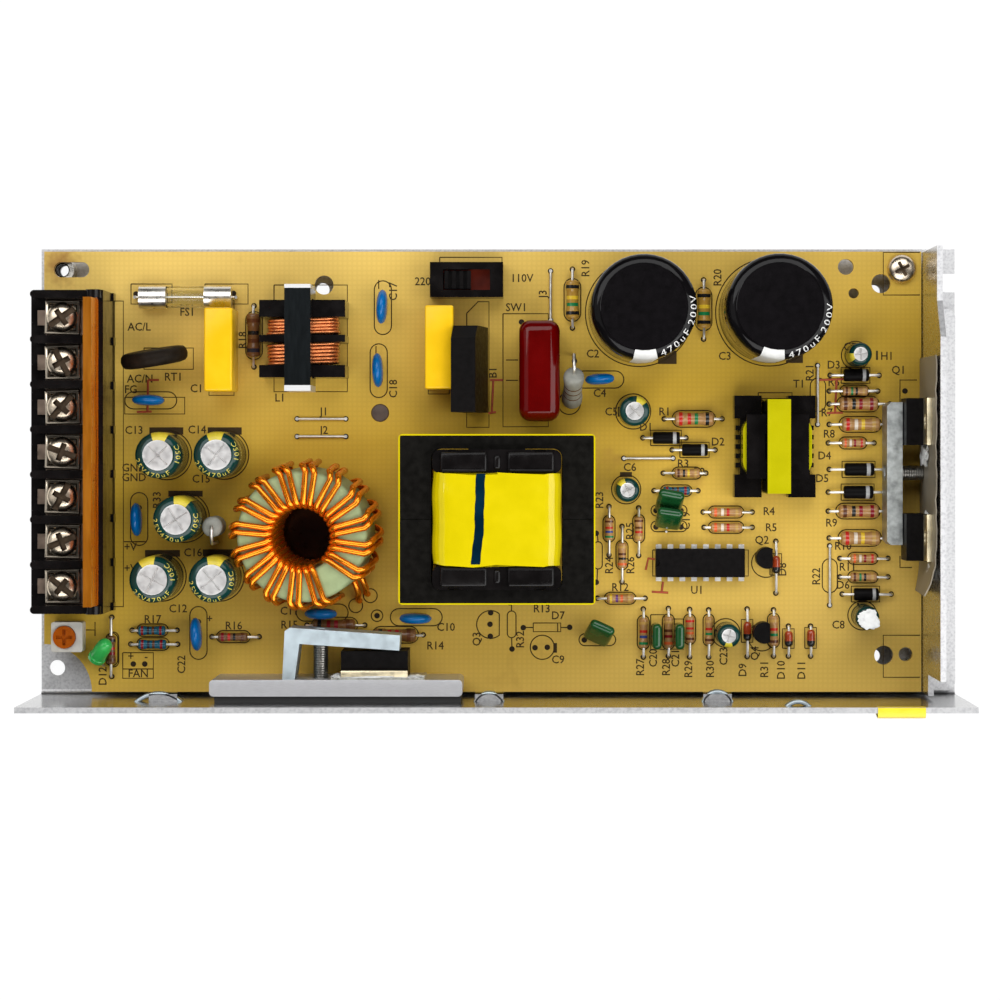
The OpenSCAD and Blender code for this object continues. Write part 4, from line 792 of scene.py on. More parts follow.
resistor_profile = [
    (0, 0), (0.3, 0), (0.43, 0.015), (0.485, 0.035), (0.5, 0.06), (0.5, 0.105), (0.5, 0.195), (0.49, 0.24),
    (0.445, 0.28), (0.43, 0.325), (0.43, 0.415), (0.43, 0.505), (0.43, 0.595), (0.43, 0.68), (0.445, 0.72),
    (0.49, 0.76), (0.5, 0.785), (0.5, 0.875), (0.5, 0.94), (0.485, 0.965), (0.43, 0.985), (0.3, 1), (0, 1)]
resistor_rings = [(0.105, 0.195, 1), (0.325, 0.415, 2), (0.505, 0.595, 3), (0.785, 0.875, 4)]


def resistors(name, along_x, along_y, coats, codes, replaces):
    """Banded resistors: a coat and four colour codes for each."""
    paints = [[coat] + [band_paint[k] for k in code] for coat, code in zip(coats, codes.split())]
    axial(name, axial_body("resistor", resistor_profile, resistor_rings), along_x, along_y, paints,
          replaces)


tan, brown = tan_coat, brown_coat
resistors("small_resistors_painted", small_x, small_y, [tan] * 8 + [brown] + [tan] * 8 + [brown],
          "nkya owra owra ngka owdr owdr ngka yvoa drkn gurn okna arnn gura odna norr ngra ngra ndrk",
          ["small_resistors"])
resistors("large_resistors_painted", large_x, large_y, [tan] * 5 + [brown] * 3 + [yellow_tan] * 2,
          "rrgk nkdd rwya nkdd rwya kddn kddn snkn kgyk kgyk", ["large_resistors"])
resistors("film_resistors_painted", film_x, [], [blue_coat] * 3, "dsnd dsnd dsnd",
          ["metal_film_resistors"])
diode_profile = [
    (0, 0), (0.4, 0), (0.47, 0.02), (0.5, 0.06), (0.5, 0.74), (0.5, 0.87), (0.5, 0.94), (0.47, 0.98),
    (0.4, 1), (0, 1)]
axial("rectifier_diodes_painted", axial_body("diode", diode_profile, [(0.74, 0.87, 1)]), diode_x, [],
      [[black_matt, diode_band]] * 6, ["rectifier_diodes"])
glass_profile = [
    (0, 0), (0.22, 0), (0.36, 0.05), (0.46, 0.12), (0.5, 0.22), (0.5, 0.36), (0.5, 0.78), (0.46, 0.88),
    (0.36, 0.95), (0.22, 1), (0, 1)]
axial("glass_diodes_painted", axial_body("glass_diode", glass_profile, [(0.0, 0.36, 1)]), [], glass_y,
      [[red_glass, band_paint["k"]]] * 4, ["glass_diodes"])

# Ring choke: a coated core that leans on the board, with two wires, each wound fifteen times round it

ring_x, ring_y = -40.6, -12.6
wind_in, wind_out, wind_lo, wind_hi = 6.525, 15.175, 8.825, 22.275
ring_in, ring_out, ring_lo, ring_hi = 7.25, 14.0, 9.55, 21.55
LEAN, LEAN_AXIS, LIFT = 8, Vector((0.53, -0.85, 0)), 2.05    # degrees, a level axis, mm
ring_middle = Vector((ring_x, ring_y, (ring_lo + ring_hi) / 2))
ring_lean = (Matrix.Translation(ring_middle + Vector((0, 0, LIFT))) @ turn(LEAN, LEAN_AXIS)
             @ Matrix.Translation(-ring_middle))


def ring_section(inner, outer, low, high, r):
    """Rounded section of the ring, from the outside bottom inwards and back over the top."""
    points = []
    for cx, cz, a, b in ((outer - r, low + r, 0, -90), (inner + r, low + r, 270, 180),
                         (inner + r, high - r, 180, 90), (outer - r, high - r, 90, 0)):
        points += [(p[0], p[1]) for p in arc(cx, cz, r, a, b, 4)]
    return points


section = ring_section(wind_in, wind_out, wind_lo, wind_hi, 1.3)
outline = ring_section(ring_in, ring_out, ring_lo, ring_hi, 1.0)
core = lathe("ring_core", outline + outline[:1], 72)
core.data.transform(sized(MM, MM, MM) @ ring_lean @ sized(1 / MM, 1 / MM, 1 / MM) @ at(ring_x, ring_y, 0))
dress(core, [ring_coat], ["toroid_core"])


TURNS, FIRST_TURN, TURN_STEP = 15, -50, 22.8    # number of turns; degrees
GAP_IN, GAP_OUT = 5.7, 3.6                      # half the angle between the two wires, degrees


def turn_at(r, t, side):
    """Angle of one of the two wires after t turns; the pair closes up towards the outside."""
    gap = GAP_IN + (GAP_OUT - GAP_IN) * (r - wind_in) / (wind_out - wind_in)
    return math.radians(FIRST_TURN + TURN_STEP * t + side * gap)


def ring_point(r, z, angle):
    return (ring_x + r * math.cos(angle), ring_y + r * math.sin(angle), z)


def leaned(r, z, angle):
    return ring_lean @ Vector(ring_point(r, z, angle))


windings = []
for side in (-1, 1):
    a = turn_at(wind_out, 0, side)
    path = [ring_point(wind_out + 3, SUNK, a), ring_point(wind_out + 3, TOP + 0.5, a),
            ring_point(17.6, TOP + 0.75, a), leaned(16.8, wind_lo, a)]
    for k in range(TURNS):
        wander = math.radians(random.uniform(-0.3, 0.3))
        for j, (r, z) in enumerate(section):
            if k or j >= 4:    # the lead-out takes the place of the first corner
                angle = turn_at(r, k + j / len(section), side) + wander * (r - 6.5) / 9
                path.append(leaned(r, z, angle))
    a = turn_at(wind_out, TURNS, side)
    path += [leaned(wind_out, wind_lo + 1.4, a), ring_point(wind_out, SUNK, a)]
    windings.append(path)
dress(tube("ring_winding", windings, 1.32, 3), [copper], ["toroid_winding"], smooth=60)

# Cans: lathed sleeve and lid, scored lid, printing wrapped round the shoulder

def can(name, d, h, lid, shoulder):
    r = d / 2
    rim = r - lid
    obj = lathe(name, [(0, 0), (r - 0.5, 0), (r - 0.1, 0.2), (r, 0.6), (r, 1.5), (r - 0.12, 1.75),
                       (r - 0.3, 2.0), (r - 0.3, 2.3), (r - 0.12, 2.55), (r, 2.8), (r, h - shoulder),
                       (r - rim * 0.1, h - shoulder * 0.6), (r - rim * 0.35, h - shoulder * 0.25),
                       (r - rim * 0.7, h - shoulder * 0.06), (lid + 0.12, h), (lid + 0.02, h - 0.06),
                       (lid, h - 0.16), (lid - 0.2, h - 0.2), (lid * 0.5, h - 0.2), (0, h - 0.2)], 40)
    paint_faces(obj, 1, lambda c, now: math.hypot(c.x, c.y) < lid and c.z > h - 1)
    return obj


def scored(obj, lid, h, length):
    """Cuts two shallow grooves across the lid."""
    cutters = []
    for angle in (45, -45):
        place = at(0, 0, h - 0.19) @ turn(angle, "Z") @ turn(45, "X")
        cutters.append(block("groove", (length, 0.26, 0.26), 0.03, 1, place))
    cut_by(obj, cutters)
    paint_faces(obj, 1, lambda c, now: math.hypot(c.x, c.y) < lid and c.z > h - 0.7)
    return obj


def wrapped(text, r, z, start, step, size, tilt):
    """Letters set one by one round an axis, lying on a cone that leans outwards."""
    made = []
    for i, ch in enumerate(text):
        place = turn(start + step * i, "Z") @ at(r, 0, z) @ turn(tilt, "Y") @ turn(90, "Z")
        made.append(moved(letter(ch, size), place))
    return made


def sleeve_patch(obj, low, high, z0, z1):
    """Paints a strip of the sleeve, between two angles, with the third paint."""
    def inside(c, now):
        return now == 0 and low <= math.degrees(math.atan2(c.y, c.x)) % 360 <= high and z0 <= c.z <= z1
    paint_faces(obj, 2, inside)


def dressed_cans(name, form, places, paints, print_paint, letters, replaces):
    lettered = joined(name + "_letters", letters)
    edit(lettered)
    bpy.ops.mesh.subdivide(number_cuts=2)
    leave()
    applied(lettered, "SHRINKWRAP", target=form, wrap_mode="ABOVE_SURFACE", offset=0.04 * MM)
    whole = joined(name + "_form", [paint(form, *paints), paint(lettered, print_paint)])
    return dress(joined(name, copies(whole, places)), None, replaces, smooth=40)


green_paints = [green_sleeve, can_top, gold_patch]
lid, h = 3.2, 17.5
form = scored(can("output_can", 9.8, h, lid, 1.5), lid, h, 5.6)
sleeve_patch(form, 66, 112, 3.2, 20)
letters = []
for z, size, tilt, r in ((h - 0.5, 1.75, 33, 4.4), (h - 4.5, 2.2, 90, 4.93)):
    letters += wrapped("25V470uF", r, z, 195, 15, size, tilt) + wrapped("105C", r, z, 340, 14, size, tilt)
places = [at(x, y, TOP) @ turn(a, "Z") for (x, y), a in zip(output_at, (0, 8, -12, 20, -6))]
dressed_cans("output_cans", form, places, green_paints, gold_print, letters,
             ["output_capacitors"])

h = 11
for i, (x, y, d) in enumerate(small_at):
    lid = d * 0.3
    form = scored(can("small_can", d, h, lid, 0.9), lid, h, d * 0.52)
    sleeve_patch(form, 40, 80, 2.9, 12)
    letters = wrapped("50V22", d / 2 + 0.03, 8.2, 190, 27, 1.3, 90)
    dressed_cans("small_can_%d" % (i + 1), form, [at(x, y, TOP) @ turn(70 * i, "Z")], green_paints,
                 gold_print, letters, ["small_capacitors"])

lid, h = 9.0, 30
form = can("bulk_can", 22, h, lid, 1.6)
paint_faces(form, 3, lambda c, now: now == 1 and c.z < h - 0.1)
paint_faces(form, 0, lambda c, now: now == 1)
sleeve_patch(form, 252, 280, 4, 31)
letters = []
for z, size, tilt, r in ((h - 0.4, 2.5, 40, 10.4), (h - 8, 3.4, 90, 11.03)):
    letters += wrapped("470uF", r, z, 287, 9, size, tilt) + wrapped("200V", r, z, 336, 9, size, tilt)
dressed_cans("bulk_cans", form, [at(x, y, TOP) @ turn(a, "Z") for (x, y), a in zip(bulk_at, (6, -4))],
             [black_sleeve, can_top, white_print, black_lid], white_print, letters,
             ["bulk_capacitors"])

# Dipped parts: discs with the coating run down their leads, and flat drops

LEG = 2.4    # from a disc's middle to each lead, mm
run_profile = [(0, 0), (0.34, 0), (0.42, 0.6), (0.62, 1.6), (0.85, 2.6), (0.7, 3.4), (0, 3.8)]
parts, wires = [], []
for x, y, along_y, r in disc_at:
    place = at(x, y, TOP + 1.2 + r) @ turn(90 * along_y + random.uniform(-4, 4), "Z")
    rim = [(r, 0), (r * 0.96, 0.38), (r * 0.85, 0.75), (r * 0.65, 1.02), (r * 0.35, 1.17), (0, 1.2)]
    under = [(a, -b) for a, b in rim[:0:-1]]
    parts.append(lathe("disc", under + rim, 36, place @ turn(90, "X")))
    for s in (-1, 1):
        below = place @ at(s * LEG, 0, -1.0 - r) @ turn(-s * 4, "Y")
        parts.append(lathe("run", run_profile, 14, below))
        wires += stubs([(x, y + s * LEG) if along_y else (x + s * LEG, y)], 0.7)
discs = paint(joined("blue_discs", parts), blue_dip)
wires = paint(tube("disc_wires", wires, LEAD), tinned)
dress(joined("disc_capacitors_dipped", [discs, wires]), None, ["disc_capacitors"], smooth=60)

parts = []
for foot, tip in drop_at:
    foot, tip = Vector(foot), Vector(tip)
    v = tip - foot
    d = block("drop", (2.0, 5.6, v.length), 0.95, 5)
    edit(d)
    bpy.ops.mesh.subdivide(number_cuts=1, smoothness=0.3)
    leave()
    up = v.normalized()
    across = Vector((-up.y, up.x, 0)).normalized() if math.hypot(up.x, up.y) > 0.3 else Vector((0, 1, 0))
    basis = Matrix((across.cross(up), across, up)).transposed().to_4x4()
    middle = (foot + tip) / 2
    parts.append(moved(d, at(middle.x, middle.y, TOP + middle.z) @ basis))
drops = paint(joined("green_drops", parts), green_dip)
drop_legs = ((36.3, -9), (36.3, -6.6), (36.3, -12.3), (36.3, -9.9), (34, -35.8), (34, -33.4), (38.9, -35.8),
             (38.9, -33.4), (19.9, -35.2), (22.1, -36.2))
wires = paint(tube("drop_wires", stubs(drop_legs, 1.6), 0.5), tinned)
dress(joined("drop_capacitors_dipped", [drops, wires]), None, ["drop_capacitors"], smooth=60)

# Inrush thermistor: a rounded disc on edge, leaning over a little

r = 7.2
place = at(-73.15, 25.65, TOP) @ turn(9, "Z")
leaning = place @ at(0, 0, 2) @ turn(5, "X") @ at(0, 0, r) @ turn(90, "X")
d = lathe("thermistor_disc", [(0, -1.75), (r * 0.78, -1.7), (r * 0.9, -1.5), (r * 0.97, -0.95), (r, 0),
                              (r * 0.97, 0.95), (r * 0.9, 1.5), (r * 0.78, 1.7), (0, 1.75)], 48, leaning)
# Its leads end up at the frame's middle, under the board: place is in metres and their points in mm
legs = [[(x, 0, -0.05), (x, 0, 1.5), (x, -0.2, 4.6)] for x in (-3.7, 3.7)]
wires = tube("thermistor_leads", [[place @ Vector(p) for p in leg] for leg in legs], 0.8)
dress(joined("thermistor_dressed", [paint(d, dark_disc), paint(wires, tinned)]), None,
      ["thermistor"], smooth=40)

# Screw terminals: dished clamping plates and heads with a slot and a cross

TERMINAL_X, FIRST_POLE, POLE_PITCH = -92.2, -23.6, 9.5
PLATE_Z, SCREW_Z = 19.1, 19.7
pole_y = [FIRST_POLE + POLE_PITCH * k for k in range(7)]
head_profile = [
    (0, -0.6), (1.6, -0.6), (1.6, 0), (2.9, 0), (3.15, 0.12), (3.2, 0.4), (3.2, 0.95), (3.05, 1.4),
    (2.6, 1.75), (1.8, 1.98), (0.9, 2.08), (0, 2.1)]
head = lathe("terminal_screw", head_profile, 40)
cut_by(head, [block("slot", (7, 1.35, 1.7), 0.05, 1, at(0, 0, 2.1)),
              block("cross", (1.2, 3.9, 2.2), 0.05, 1, at(0, 0, 2.1))])
# Painted shade: the slot and the cross are dark where they lie in shade.
paint_faces(head, 1, lambda c, now: c.z > 0.9 and (abs(c.y) < 0.69 or (abs(c.x) < 0.62 and abs(c.y) < 1.96)))
paint(head, bright_nickel, slot_shade)
places = [at(TERMINAL_X, y, SCREW_Z) @ turn(a, "Z") for y, a in zip(pole_y, (-38, 22, 62, -20, 48, -62, 35))]
dress(joined("terminal_screw_heads", copies(head, places)), None, ["terminal_screws"])
plate = block("terminal_plate", (7.5, 7.3, 1.2), 0.3, 3)
edit(plate)
bpy.ops.mesh.select_all(action="DESELECT")
leave()
for p in plate.data.polygons:
    p.select = p.normal.z > 0.99
bpy.ops.object.mode_set(mode="EDIT")
bpy.ops.mesh.inset(thickness=0.45 * MM, depth=0)
bpy.ops.mesh.inset(thickness=0.3 * MM, depth=-0.35 * MM)
leave()
places = [at(TERMINAL_X, y, PLATE_Z) @ turn(random.uniform(-2, 2), "Z") for y in pole_y]
dress(joined("terminal_clamp_plates", copies(plate, places)), [mirror_nickel],
      ["terminal_plates"])

head = lathe("board_screw_dressed", [(0, -1), (1.5, -1), (1.5, 0), (2.9, 0), (3.1, 0.25), (3.1, 0.7),
                                     (2.85, 1.3), (2.3, 1.75), (1.5, 2.05), (0.8, 2.15), (0, 2.2)], 40)
cut_by(head, [block("bar", size, 0.15, 2, at(0, 0, 2.2)) for size in ((3.4, 0.75, 2.2), (0.75, 3.4, 2.2))])
# Painted shade in the cross-shaped recess.
paint(head, bright_nickel, slot_shade)
paint_faces(head, 1, lambda c, now: math.hypot(c.x, c.y) < 1.75 and 0.9 < c.z < 1.9)
dress(moved(head, at(87.1, 44.3, TOP) @ turn(28, "Z")), None, ["board_screw"])

# Input choke: separate turns in the two chambers of its bobbin

low, high = in_mm(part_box("choke_windings"))
turns = []
r, WIRE_STEP = 2.2, 0.66
for y0, y1 in ((23.45, 28.05), (29.85, 33.35)):
    n = int((y1 - y0) / WIRE_STEP)
    for i in range(n):
        y = y0 + (i + 0.5) * (y1 - y0) / n
        g = random.uniform(0.2, 0.55)
        x0, x1, z0, z1 = low.x + g, high.x - g, low.z + g, high.z - g
        loop = []
        for cx, cz, a in ((x1 - r, z1 - r, 0), (x0 + r, z1 - r, 90), (x0 + r, z0 + r, 180),
                          (x1 - r, z0 + r, 270)):
            for x, z, flat in arc(cx, cz, r, a, a + 90, 5):
                loop.append((x, y + 0.5 * (x - x0) / (x1 - x0) - 0.25, z))
        turns.append(loop)
dress(tube("choke_turns", turns, 0.68, 2, closed=True), [bare_copper], ["choke_windings"],
      smooth=60)

# Yellow boxed capacitors and the red dipped one, with soft edges

shells = [block("shell", (6, 17.7, 14), 0.45, 3, at(x, y, TOP + 7)) for x, y in ((-59, 26.6), (-12.3, 27.1))]
dress(joined("line_capacitor_shells", shells), [yellow_shell], ["line_capacitors"])
low, high = in_mm(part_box("film_capacitor"))
size, middle = high - low, (low + high) / 2
b = block("film_body", (size.x, size.y, size.z - 0.6), 2.4, 6, at(middle.x, middle.y, middle.z + 0.3))
wires = tube("film_wires", stubs([(middle.x, low.y + 3), (middle.x, high.y - 3)], 2), 0.8)
dress(joined("film_capacitor_dipped", [b, wires]), [red_dip], ["film_capacitor"], smooth=60)

# Tape on the main winding: uneven layers with a dark stripe drawn across, between the bobbin's glossy lugs

def tape_rise(x, y):
    return 0.1 * math.sin(0.2 * x + 0.5 * y) + 0.05 * math.sin(0.15 * x + 0.9 * y + 1)


LAYERS = 24
low, high = in_mm(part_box("transformer_winding"))
size, middle = high - low, (low + high) / 2
wrap = plane("winding_tape")
wrap.data.transform(at(middle.x, low.y, middle.z) @ turn(90, "X") @ sized(size.x * MM, size.z * MM, 1))
edit(wrap)
bpy.ops.mesh.bevel(offset=3.4 * MM, segments=5, affect="VERTICES")
select_all()
for k in range(LAYERS):
    extrude(0, size.y / LAYERS, 0)
outward()
bpy.ops.mesh.subdivide(number_cuts=3)
leave()
for v in wrap.data.vertices:
    x, y, z = v.co / MM
    u = (y - low.y) / size.y - 0.5
    side = max(0, abs(x) - 9) / 4
    out = (0.25 - 1.2 * abs(u) ** 2.5) * side + 0.1 * side * math.sin(0.55 * y + 0.2 * x)
    end = (0.3 * math.sin(0.45 * x + 1) + 0.14 * math.sin(1.3 * x)) * max(0, (abs(u) - 0.4) * 10)
    v.co = ((x + math.copysign(out, x)) * MM, (y + end) * MM, (z + tape_rise(x, y) * (z > high.z - 4)) * MM)
dress(wrap, [yellow_tape], ["transformer_winding"], smooth=35)

base = in_mm(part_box("transformer_bobbin"))[1].z
lugs = []
for y, s in ((2.75, 1), (-21.1, -1)):
    for x in (-6.9, 7.1):
        lugs.append(block("lug", (9.8, 4.3, 1.9), 0.5, 3, at(x, y, base - 0.15)))
        lugs.append(block("ledge", (9.0, 0.5, 0.5), 0.15, 2, at(x, y - s * 1.6, base + 0.85)))
    lugs.append(block("post", (1.6, 3.2, 1.5), 0.6, 3, at(0.1, y, base - 0.3)))
dress(joined("bobbin_lugs", lugs), [black_gloss], smooth=50)

STRIPE_Z = 33.07
stripe = grid("tape_stripe", 23)
for v in stripe.data.vertices:
    u, w = v.co.x, v.co.y + 0.5
    edge = 0.14 * math.sin(17 * w + 3 * u) + 0.07 * math.sin(41 * w)
    y = 0.42 - 18.9 * (1 - w)
    v.co = ((-4.5 + 1.5 * w + 0.25 * math.sin(5 * w) + u * (1.9 + edge)) * MM, y * MM, 0)
    v.co.z = (STRIPE_Z + tape_rise(v.co.x / MM, y)) * MM
dress(stripe, [stripe_ink], smooth=0)

# Threads on the two clamping screws

PITCH = 0.5


def thread(name, length, r, place):
    teeth = [(r - 0.1, 0)]
    for i in range(int(length / PITCH)):
        teeth += [(r - 0.1, i * PITCH + 0.05), (r + 0.16, i * PITCH + 0.25), (r - 0.1, i * PITCH + 0.45)]
    return lathe(name, teeth, 20, place)


threads = [
    thread("clamp_thread", 5, 1.5, at(86.05, 0.4, 14.8) @ turn(90, "Y")),
    thread("rectifier_thread", 9, 1.5, at(-37.4, -42.9, 20) @ turn(-90, "X"))]
dress(joined("screw_threads", threads), [dark_steel])

# White heat paste, squeezed out and smeared

def lump(size, seed):
    """A ball roughened by clouds, each seed at its own place in them, then drawn out to its size."""
    deselect()
    bpy.ops.mesh.primitive_ico_sphere_add(subdivisions=4, radius=0.5)
    obj = bpy.context.active_object
    clouds = bpy.data.textures.new("smear", "CLOUDS")
    clouds.noise_scale = 0.28
    clouds.noise_depth = 3
    away = Vector((seed * 3.1, seed * 1.7, 0))
    obj.data.transform(Matrix.Translation(away))
    applied(obj, "DISPLACE", texture=clouds, strength=0.7)
    return moved(obj, sized(*(s * MM for s in size)) @ Matrix.Translation(-away))


smears = [moved(lump(size, i + 1), at(*place) @ turn(a, "Z")) for i, (place, size, a) in enumerate((
    ((90.6, 4.2, 20), (1.2, 4.4, 9), 0), ((90.9, -20.2, 26), (0.7, 3.6, 7), 0),
    ((78.9, -30.6, 19), (4.0, 4.2, 0.9), 20), ((-33.6, -42.5, 22), (2.6, 0.9, 7), 0),
    ((-16.9, -42.4, 24), (3.2, 0.7, 3), 0), ((-26, -42.45, 25.2), (15, 0.5, 1.4), 0),
    ((90.6, -8.9, 22), (1.0, 2.2, 8), 0)))]
dress(joined("heat_paste", smears), [paste], smooth=70)

# The insulating sheet bows away from the wall and curls at its lower end
SHEET_X, SHEET_L, SHEET_H, SHEET_Z, SHEET_MID = 91.25, 50, 27.6, 8.4, 22.2
film = grid("insulating_film", 39)
for v in film.data.vertices:
    y, z = v.co.x * SHEET_L, SHEET_MID + v.co.y * SHEET_H
    rise = z - SHEET_Z
    lean = max(0, (-16 - y) / 9) ** 2 * (1.0 + rise * 0.055)
    wave = (0.18 * math.sin(y * 0.55 + 1) + 0.14 * math.sin(y * 1.1 + z * 0.12)) * rise / SHEET_H
    v.co = ((SHEET_X - lean - abs(wave)) * MM, y * MM, z * MM)
applied(film, "SOLIDIFY", thickness=0.25 * MM)
dress(film, [grey_sheet], ["insulating_sheet"], smooth=60)

# Eyelets pressed out of the long wall, and a plain yellow label folded over its top edge

WALL_Y = -47.8
eyes = []
for x, z, half, rise in ((-71.5, 22, 5.2, 2.1), (-1.7, 22, 3.3, 2.2), (46.5, 22, 3.4, 2.5),
                         (62.6, 33, 2.8, 1.3)):
    r = (half * half + rise * rise) / (2 * rise)
    angle = 2 * math.asin(half / r)
    e = moved(plane("eyelet"), at(r - 0.45, 0, z) @ turn(90, "X") @ sized(0.9 * MM, 2.4 * MM, 1))
    edit(e)
    bpy.ops.mesh.bevel(offset=0.3 * MM, segments=2, affect="VERTICES")
    bpy.ops.mesh.spin(steps=18, angle=angle, center=(0, 0, 0), axis=(0, 0, 1))
    outward()
    leave()
    eyes.append(moved(e, at(x, WALL_Y + rise - r, 0) @ turn(90 + math.degrees(angle) / 2, "Z")))
dress(joined("wall_eyelets", eyes), [bright_zinc], smooth=50)

LABEL_X, LABEL_L = 78.7, 9.9
fold = ((-47.7, 36.2), (-47.72, 37.6), (-47.9, 38.1), (-48.9, 38.2), (-49.7, 38.0), (-50.1, 37.2),
        (-49.9, 35.6), (-49.3, 33))
tag = drawn("edge_label", [(LABEL_X, y, z) for y, z in fold])
extrude(LABEL_L, 0, 0)
leave()
applied(tag, "SOLIDIFY", thickness=0.12 * MM)
dress(tag, [label_yellow], smooth=40)

# Painted shade: a dark disc on the board inside the ring choke, where the winding keeps the light out
ring_shade = lathe("ring_hole_shade", [(0, 0.35), (3, 0.3), (5.2, 0.2), (6.3, 0)], 32, at(ring_x, ring_y, TOP))
dress(ring_shade, [painted_shade_dark])

# Status lamp: flanged body with a round end, leaning over on its two legs
lens = lathe("lamp_lens", [(0, -0.9), (1.9, -0.9), (1.95, -0.7), (1.95, -0.1), (1.75, 0.05), (1.72, 1.2),
                           (1.7, 3.0), (1.55, 3.9), (1.15, 4.6), (0.6, 4.95), (0, 5.05)], 32,
             at(-85.9, -39.0, 11.1) @ pointing(Vector((2.8, 3.9, 3.0)).normalized()))
legs = tube("lamp_legs", [[(-86.5, -40.5, SUNK), (-86.5, -40.5, TOP + 1.8), (-86.6, -39.9, TOP + 2.4),
                           (-86.2, -39.4, TOP + 2.9)],
                          [(-84.9, -41.2, SUNK), (-84.9, -41.2, TOP + 1.6), (-85.2, -40.6, TOP + 2.2),
                           (-85.6, -39.6, TOP + 2.9)]], 0.5)
dress(joined("status_lamp", [paint(lens, lens_green), paint(legs, tinned)]), None,
      ["status_led"], smooth=50)

# Standing power resistors with thin bands: foot and head of each body, and where its upper lead lands
stand_profile = [
    (0, 0), (0.3, 0), (0.45, 0.03), (0.5, 0.08), (0.5, 0.2), (0.49, 0.27), (0.45, 0.31), (0.45, 0.34),
    (0.45, 0.48), (0.45, 0.51), (0.45, 0.64), (0.45, 0.67), (0.46, 0.72), (0.49, 0.77), (0.5, 0.82),
    (0.5, 0.92), (0.45, 0.97), (0.3, 1), (0, 1)]
parts, wires = [], []
for foot, head, land in (((15.9, 15.6, 2.5), (16.3, 21.4, 11.5), (16.3, 25.6)),
                         ((-60.5, -11, 2), (-60.5, -11, 12), (-60.5, -14.6))):
    foot, head, land = Vector(foot), Vector(head), Vector(land)
    v = head - foot
    b = axial_body("standing_resistor", stand_profile, [(0.31, 0.34, 1), (0.48, 0.51, 1), (0.64, 0.67, 1)])
    b.data.transform(at(foot.x, foot.y, TOP + foot.z) @ pointing(v) @ sized(4.4, 4.4, v.length))
    parts.append(paint(b, grey_cement, band_paint["n"]))
    tip = head + v.normalized() * 1.2
    top = TOP + tip.z
    out = land - tip.xy
    wires += stubs([foot.xy], foot.z + 0.3)
    wires.append([(head.x, head.y, TOP + head.z - 0.3), (tip.x, tip.y, top - 0.3),
                  (*(tip.xy + out * 0.15), top + 0.1), (*(tip.xy + out * 0.5), top - 0.2),
                  (*(land - out * 0.06), top - 1.0), (*land, top - 1.8), (*land, SUNK)])
legs = paint(tube("standing_leads", wires, 0.7), tinned)
dress(joined("standing_resistors", parts + [legs]), None, ["power_resistors"], smooth=45)

# One thin turn of tape round the main core
band = moved(plane("core_tape_band"), at(0, -9.2, 16.8) @ sized(40.6 * MM, 35.1 * MM, 1))
edit(band)
bpy.ops.mesh.delete(type="ONLY_FACE")
select_all()
bpy.ops.mesh.bevel(offset=0.5 * MM, segments=3, affect="VERTICES")
select_all()
extrude(0, 0, 12.1)
outward()
leave()
applied(band, "SOLIDIFY", thickness=0.3 * MM, offset=1.0)
dress(band, [yellow_tape], ["core_tape"], smooth=40)

# Plated tabs of the clamped semiconductors: two with a hole on the end wall, one on the long wall
TAB_X = 90.45
tabs = []
for y in (11.3, -13.1):
    tab = block("tab", (1.34, 9.94, 7.6), 0.2, 2, at(TAB_X, y, 26.3))
    bore = lathe("bore", [(0, -2), (1.75, -2), (1.75, 2), (0, 2)], 40, at(TAB_X, y, 27.2) @ turn(90, "Y"))
    tabs.append(cut_by(tab, [bore]))
tabs.append(block("tab", (14.14, 1.54, 1.5), 0.2, 2, at(-25.85, -41.85, 24.85)))
dress(joined("plated_tabs", tabs), [gold_tin])

# Red inspection strokes on the board
strokes = [view_line(*p) for p in (
    ((148, 380), (159, 380)), ((148, 380), (147.5, 411.7)), ((136.7, 412), (151.7, 411.5)),
    ((490, 380), (502.7, 380)), ((493.3, 380), (491.7, 413.3)), ((488.3, 413.3), (496, 412)),
    ((818, 380), (845, 379)), ((836.7, 380), (835, 413)), ((826.7, 413), (843, 412.7)),
    ((645.7, 570), (648.3, 558.3), (655, 559.3)), ((663, 581.7), (661.7, 591.7)),
    ((651.7, 591.7), (668.3, 592.7)))]
ink = tube("marker_strokes", strokes, 0.5, 1)
dress(moved(ink, at(0, 0, TOP + 0.018) @ sized(1, 1, 0.05)), [red_marker], smooth=0)

# Thread in the open standoff that shows through the board's slot, painted near black as shade
low = in_mm(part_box("board"))[0]
dress(thread("bore_thread", 5, 1.45, at(low.x + 3.7, 44.2, 1.3)), [painted_shade_dark])

# STAGE

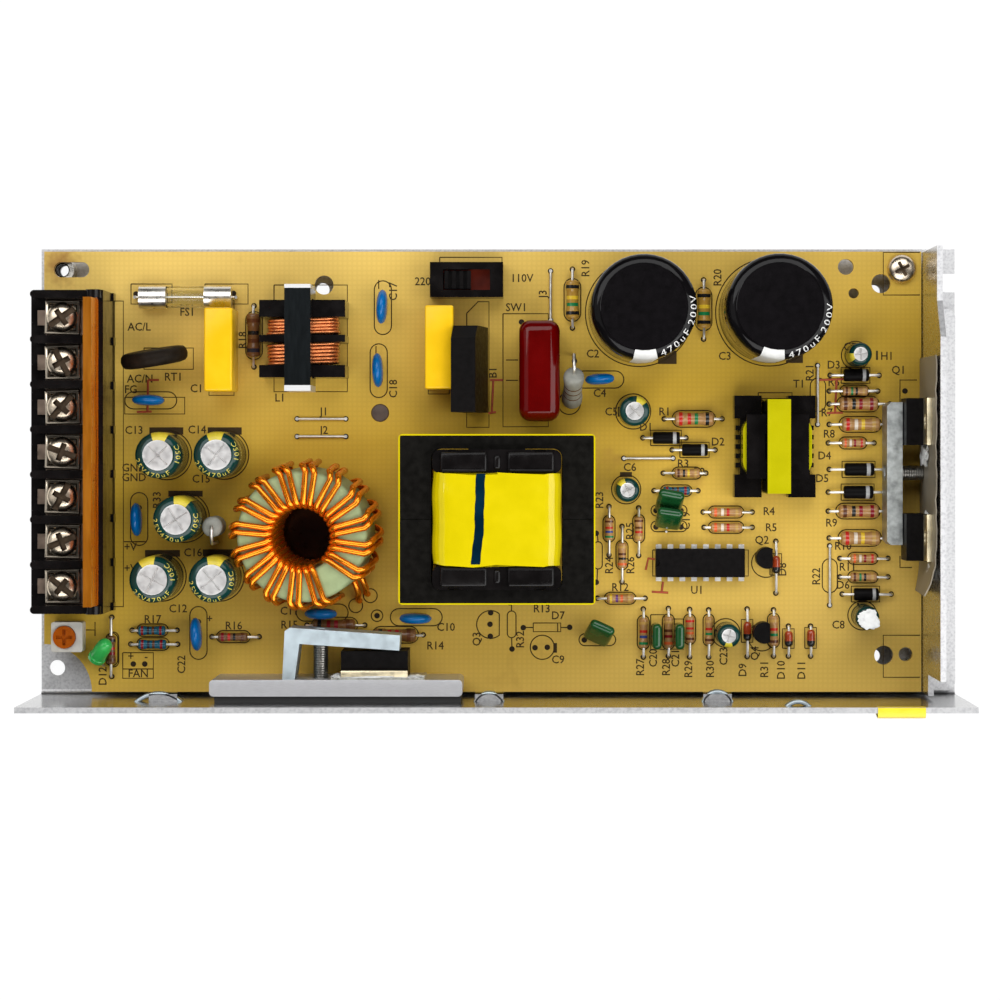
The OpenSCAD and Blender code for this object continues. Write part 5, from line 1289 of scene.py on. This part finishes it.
# The floor shows white to the camera and in reflections, and still takes a faint shadow
floor = plane("floor", 4)
floor.location.z = -0.0003
look, t, s = new_shader("pale_floor")
set_inputs(t, s, {"Base Color": (0.9, 0.9, 0.9, 1), "Roughness": 0.8})
rays = add(t, "ShaderNodeLightPath", {}).outputs
direct = maths(t, "MAXIMUM", rays["Is Camera Ray"], rays["Is Glossy Ray"])
share = maths(t, "MULTIPLY", maths(t, "MAXIMUM", direct, rays["Is Transmission Ray"]), 0.94)
white = add(t, "ShaderNodeEmission", {"Strength": 1.03})
both = add(t, "ShaderNodeMixShader", {0: share, 1: s.outputs[0], 2: white.outputs[0]})
t.links.new(both.outputs[0], t.nodes["Material Output"].inputs["Surface"])
paint(floor, look)

world = bpy.data.worlds.new("studio")
bpy.context.scene.world = world
world.use_nodes = True
world.node_tree.nodes["Background"].inputs["Color"].default_value = (1, 1, 1, 1)
world.node_tree.nodes["Background"].inputs["Strength"].default_value = 0.05


def lamp(name, place, aim, size, power):
    data = bpy.data.lights.new(name, "AREA")
    data.shape = "RECTANGLE"
    data.size, data.size_y = size
    data.energy = power
    obj = bpy.data.objects.new(name, data)
    obj.location = place
    obj.rotation_euler = (Vector(aim) - Vector(place)).to_track_quat("-Z", "Y").to_euler()
    bpy.context.scene.collection.objects.link(obj)


lamp("key_back", (-0.1, 0.42, 0.66), (0, 0.02, 0), (1.2, 0.45), 5.0)
lamp("fill_left", (-0.66, 0.05, 0.62), (0, 0, 0), (0.5, 0.8), 0.6)
lamp("fill_right", (0.66, -0.08, 0.62), (0.03, 0, 0), (0.5, 0.8), 4.0)
lamp("key_front", (0.06, -0.5, 0.72), (0, 0.02, 0), (1.0, 0.5), 5.5)

camera_data = bpy.data.cameras.new("camera")
camera_data.sensor_width = 36.0
camera_data.lens = 112.93
camera_data.shift_x = -0.027
camera_data.shift_y = -0.054
camera_data.clip_start = 0.01
camera = bpy.data.objects.new("camera", camera_data)
camera.location = (CAMERA_X * MM, CAMERA_Y * MM, 0.685)
bpy.context.scene.collection.objects.link(camera)
bpy.context.scene.camera = camera
bpy.context.scene.view_settings.view_transform = "Standard"
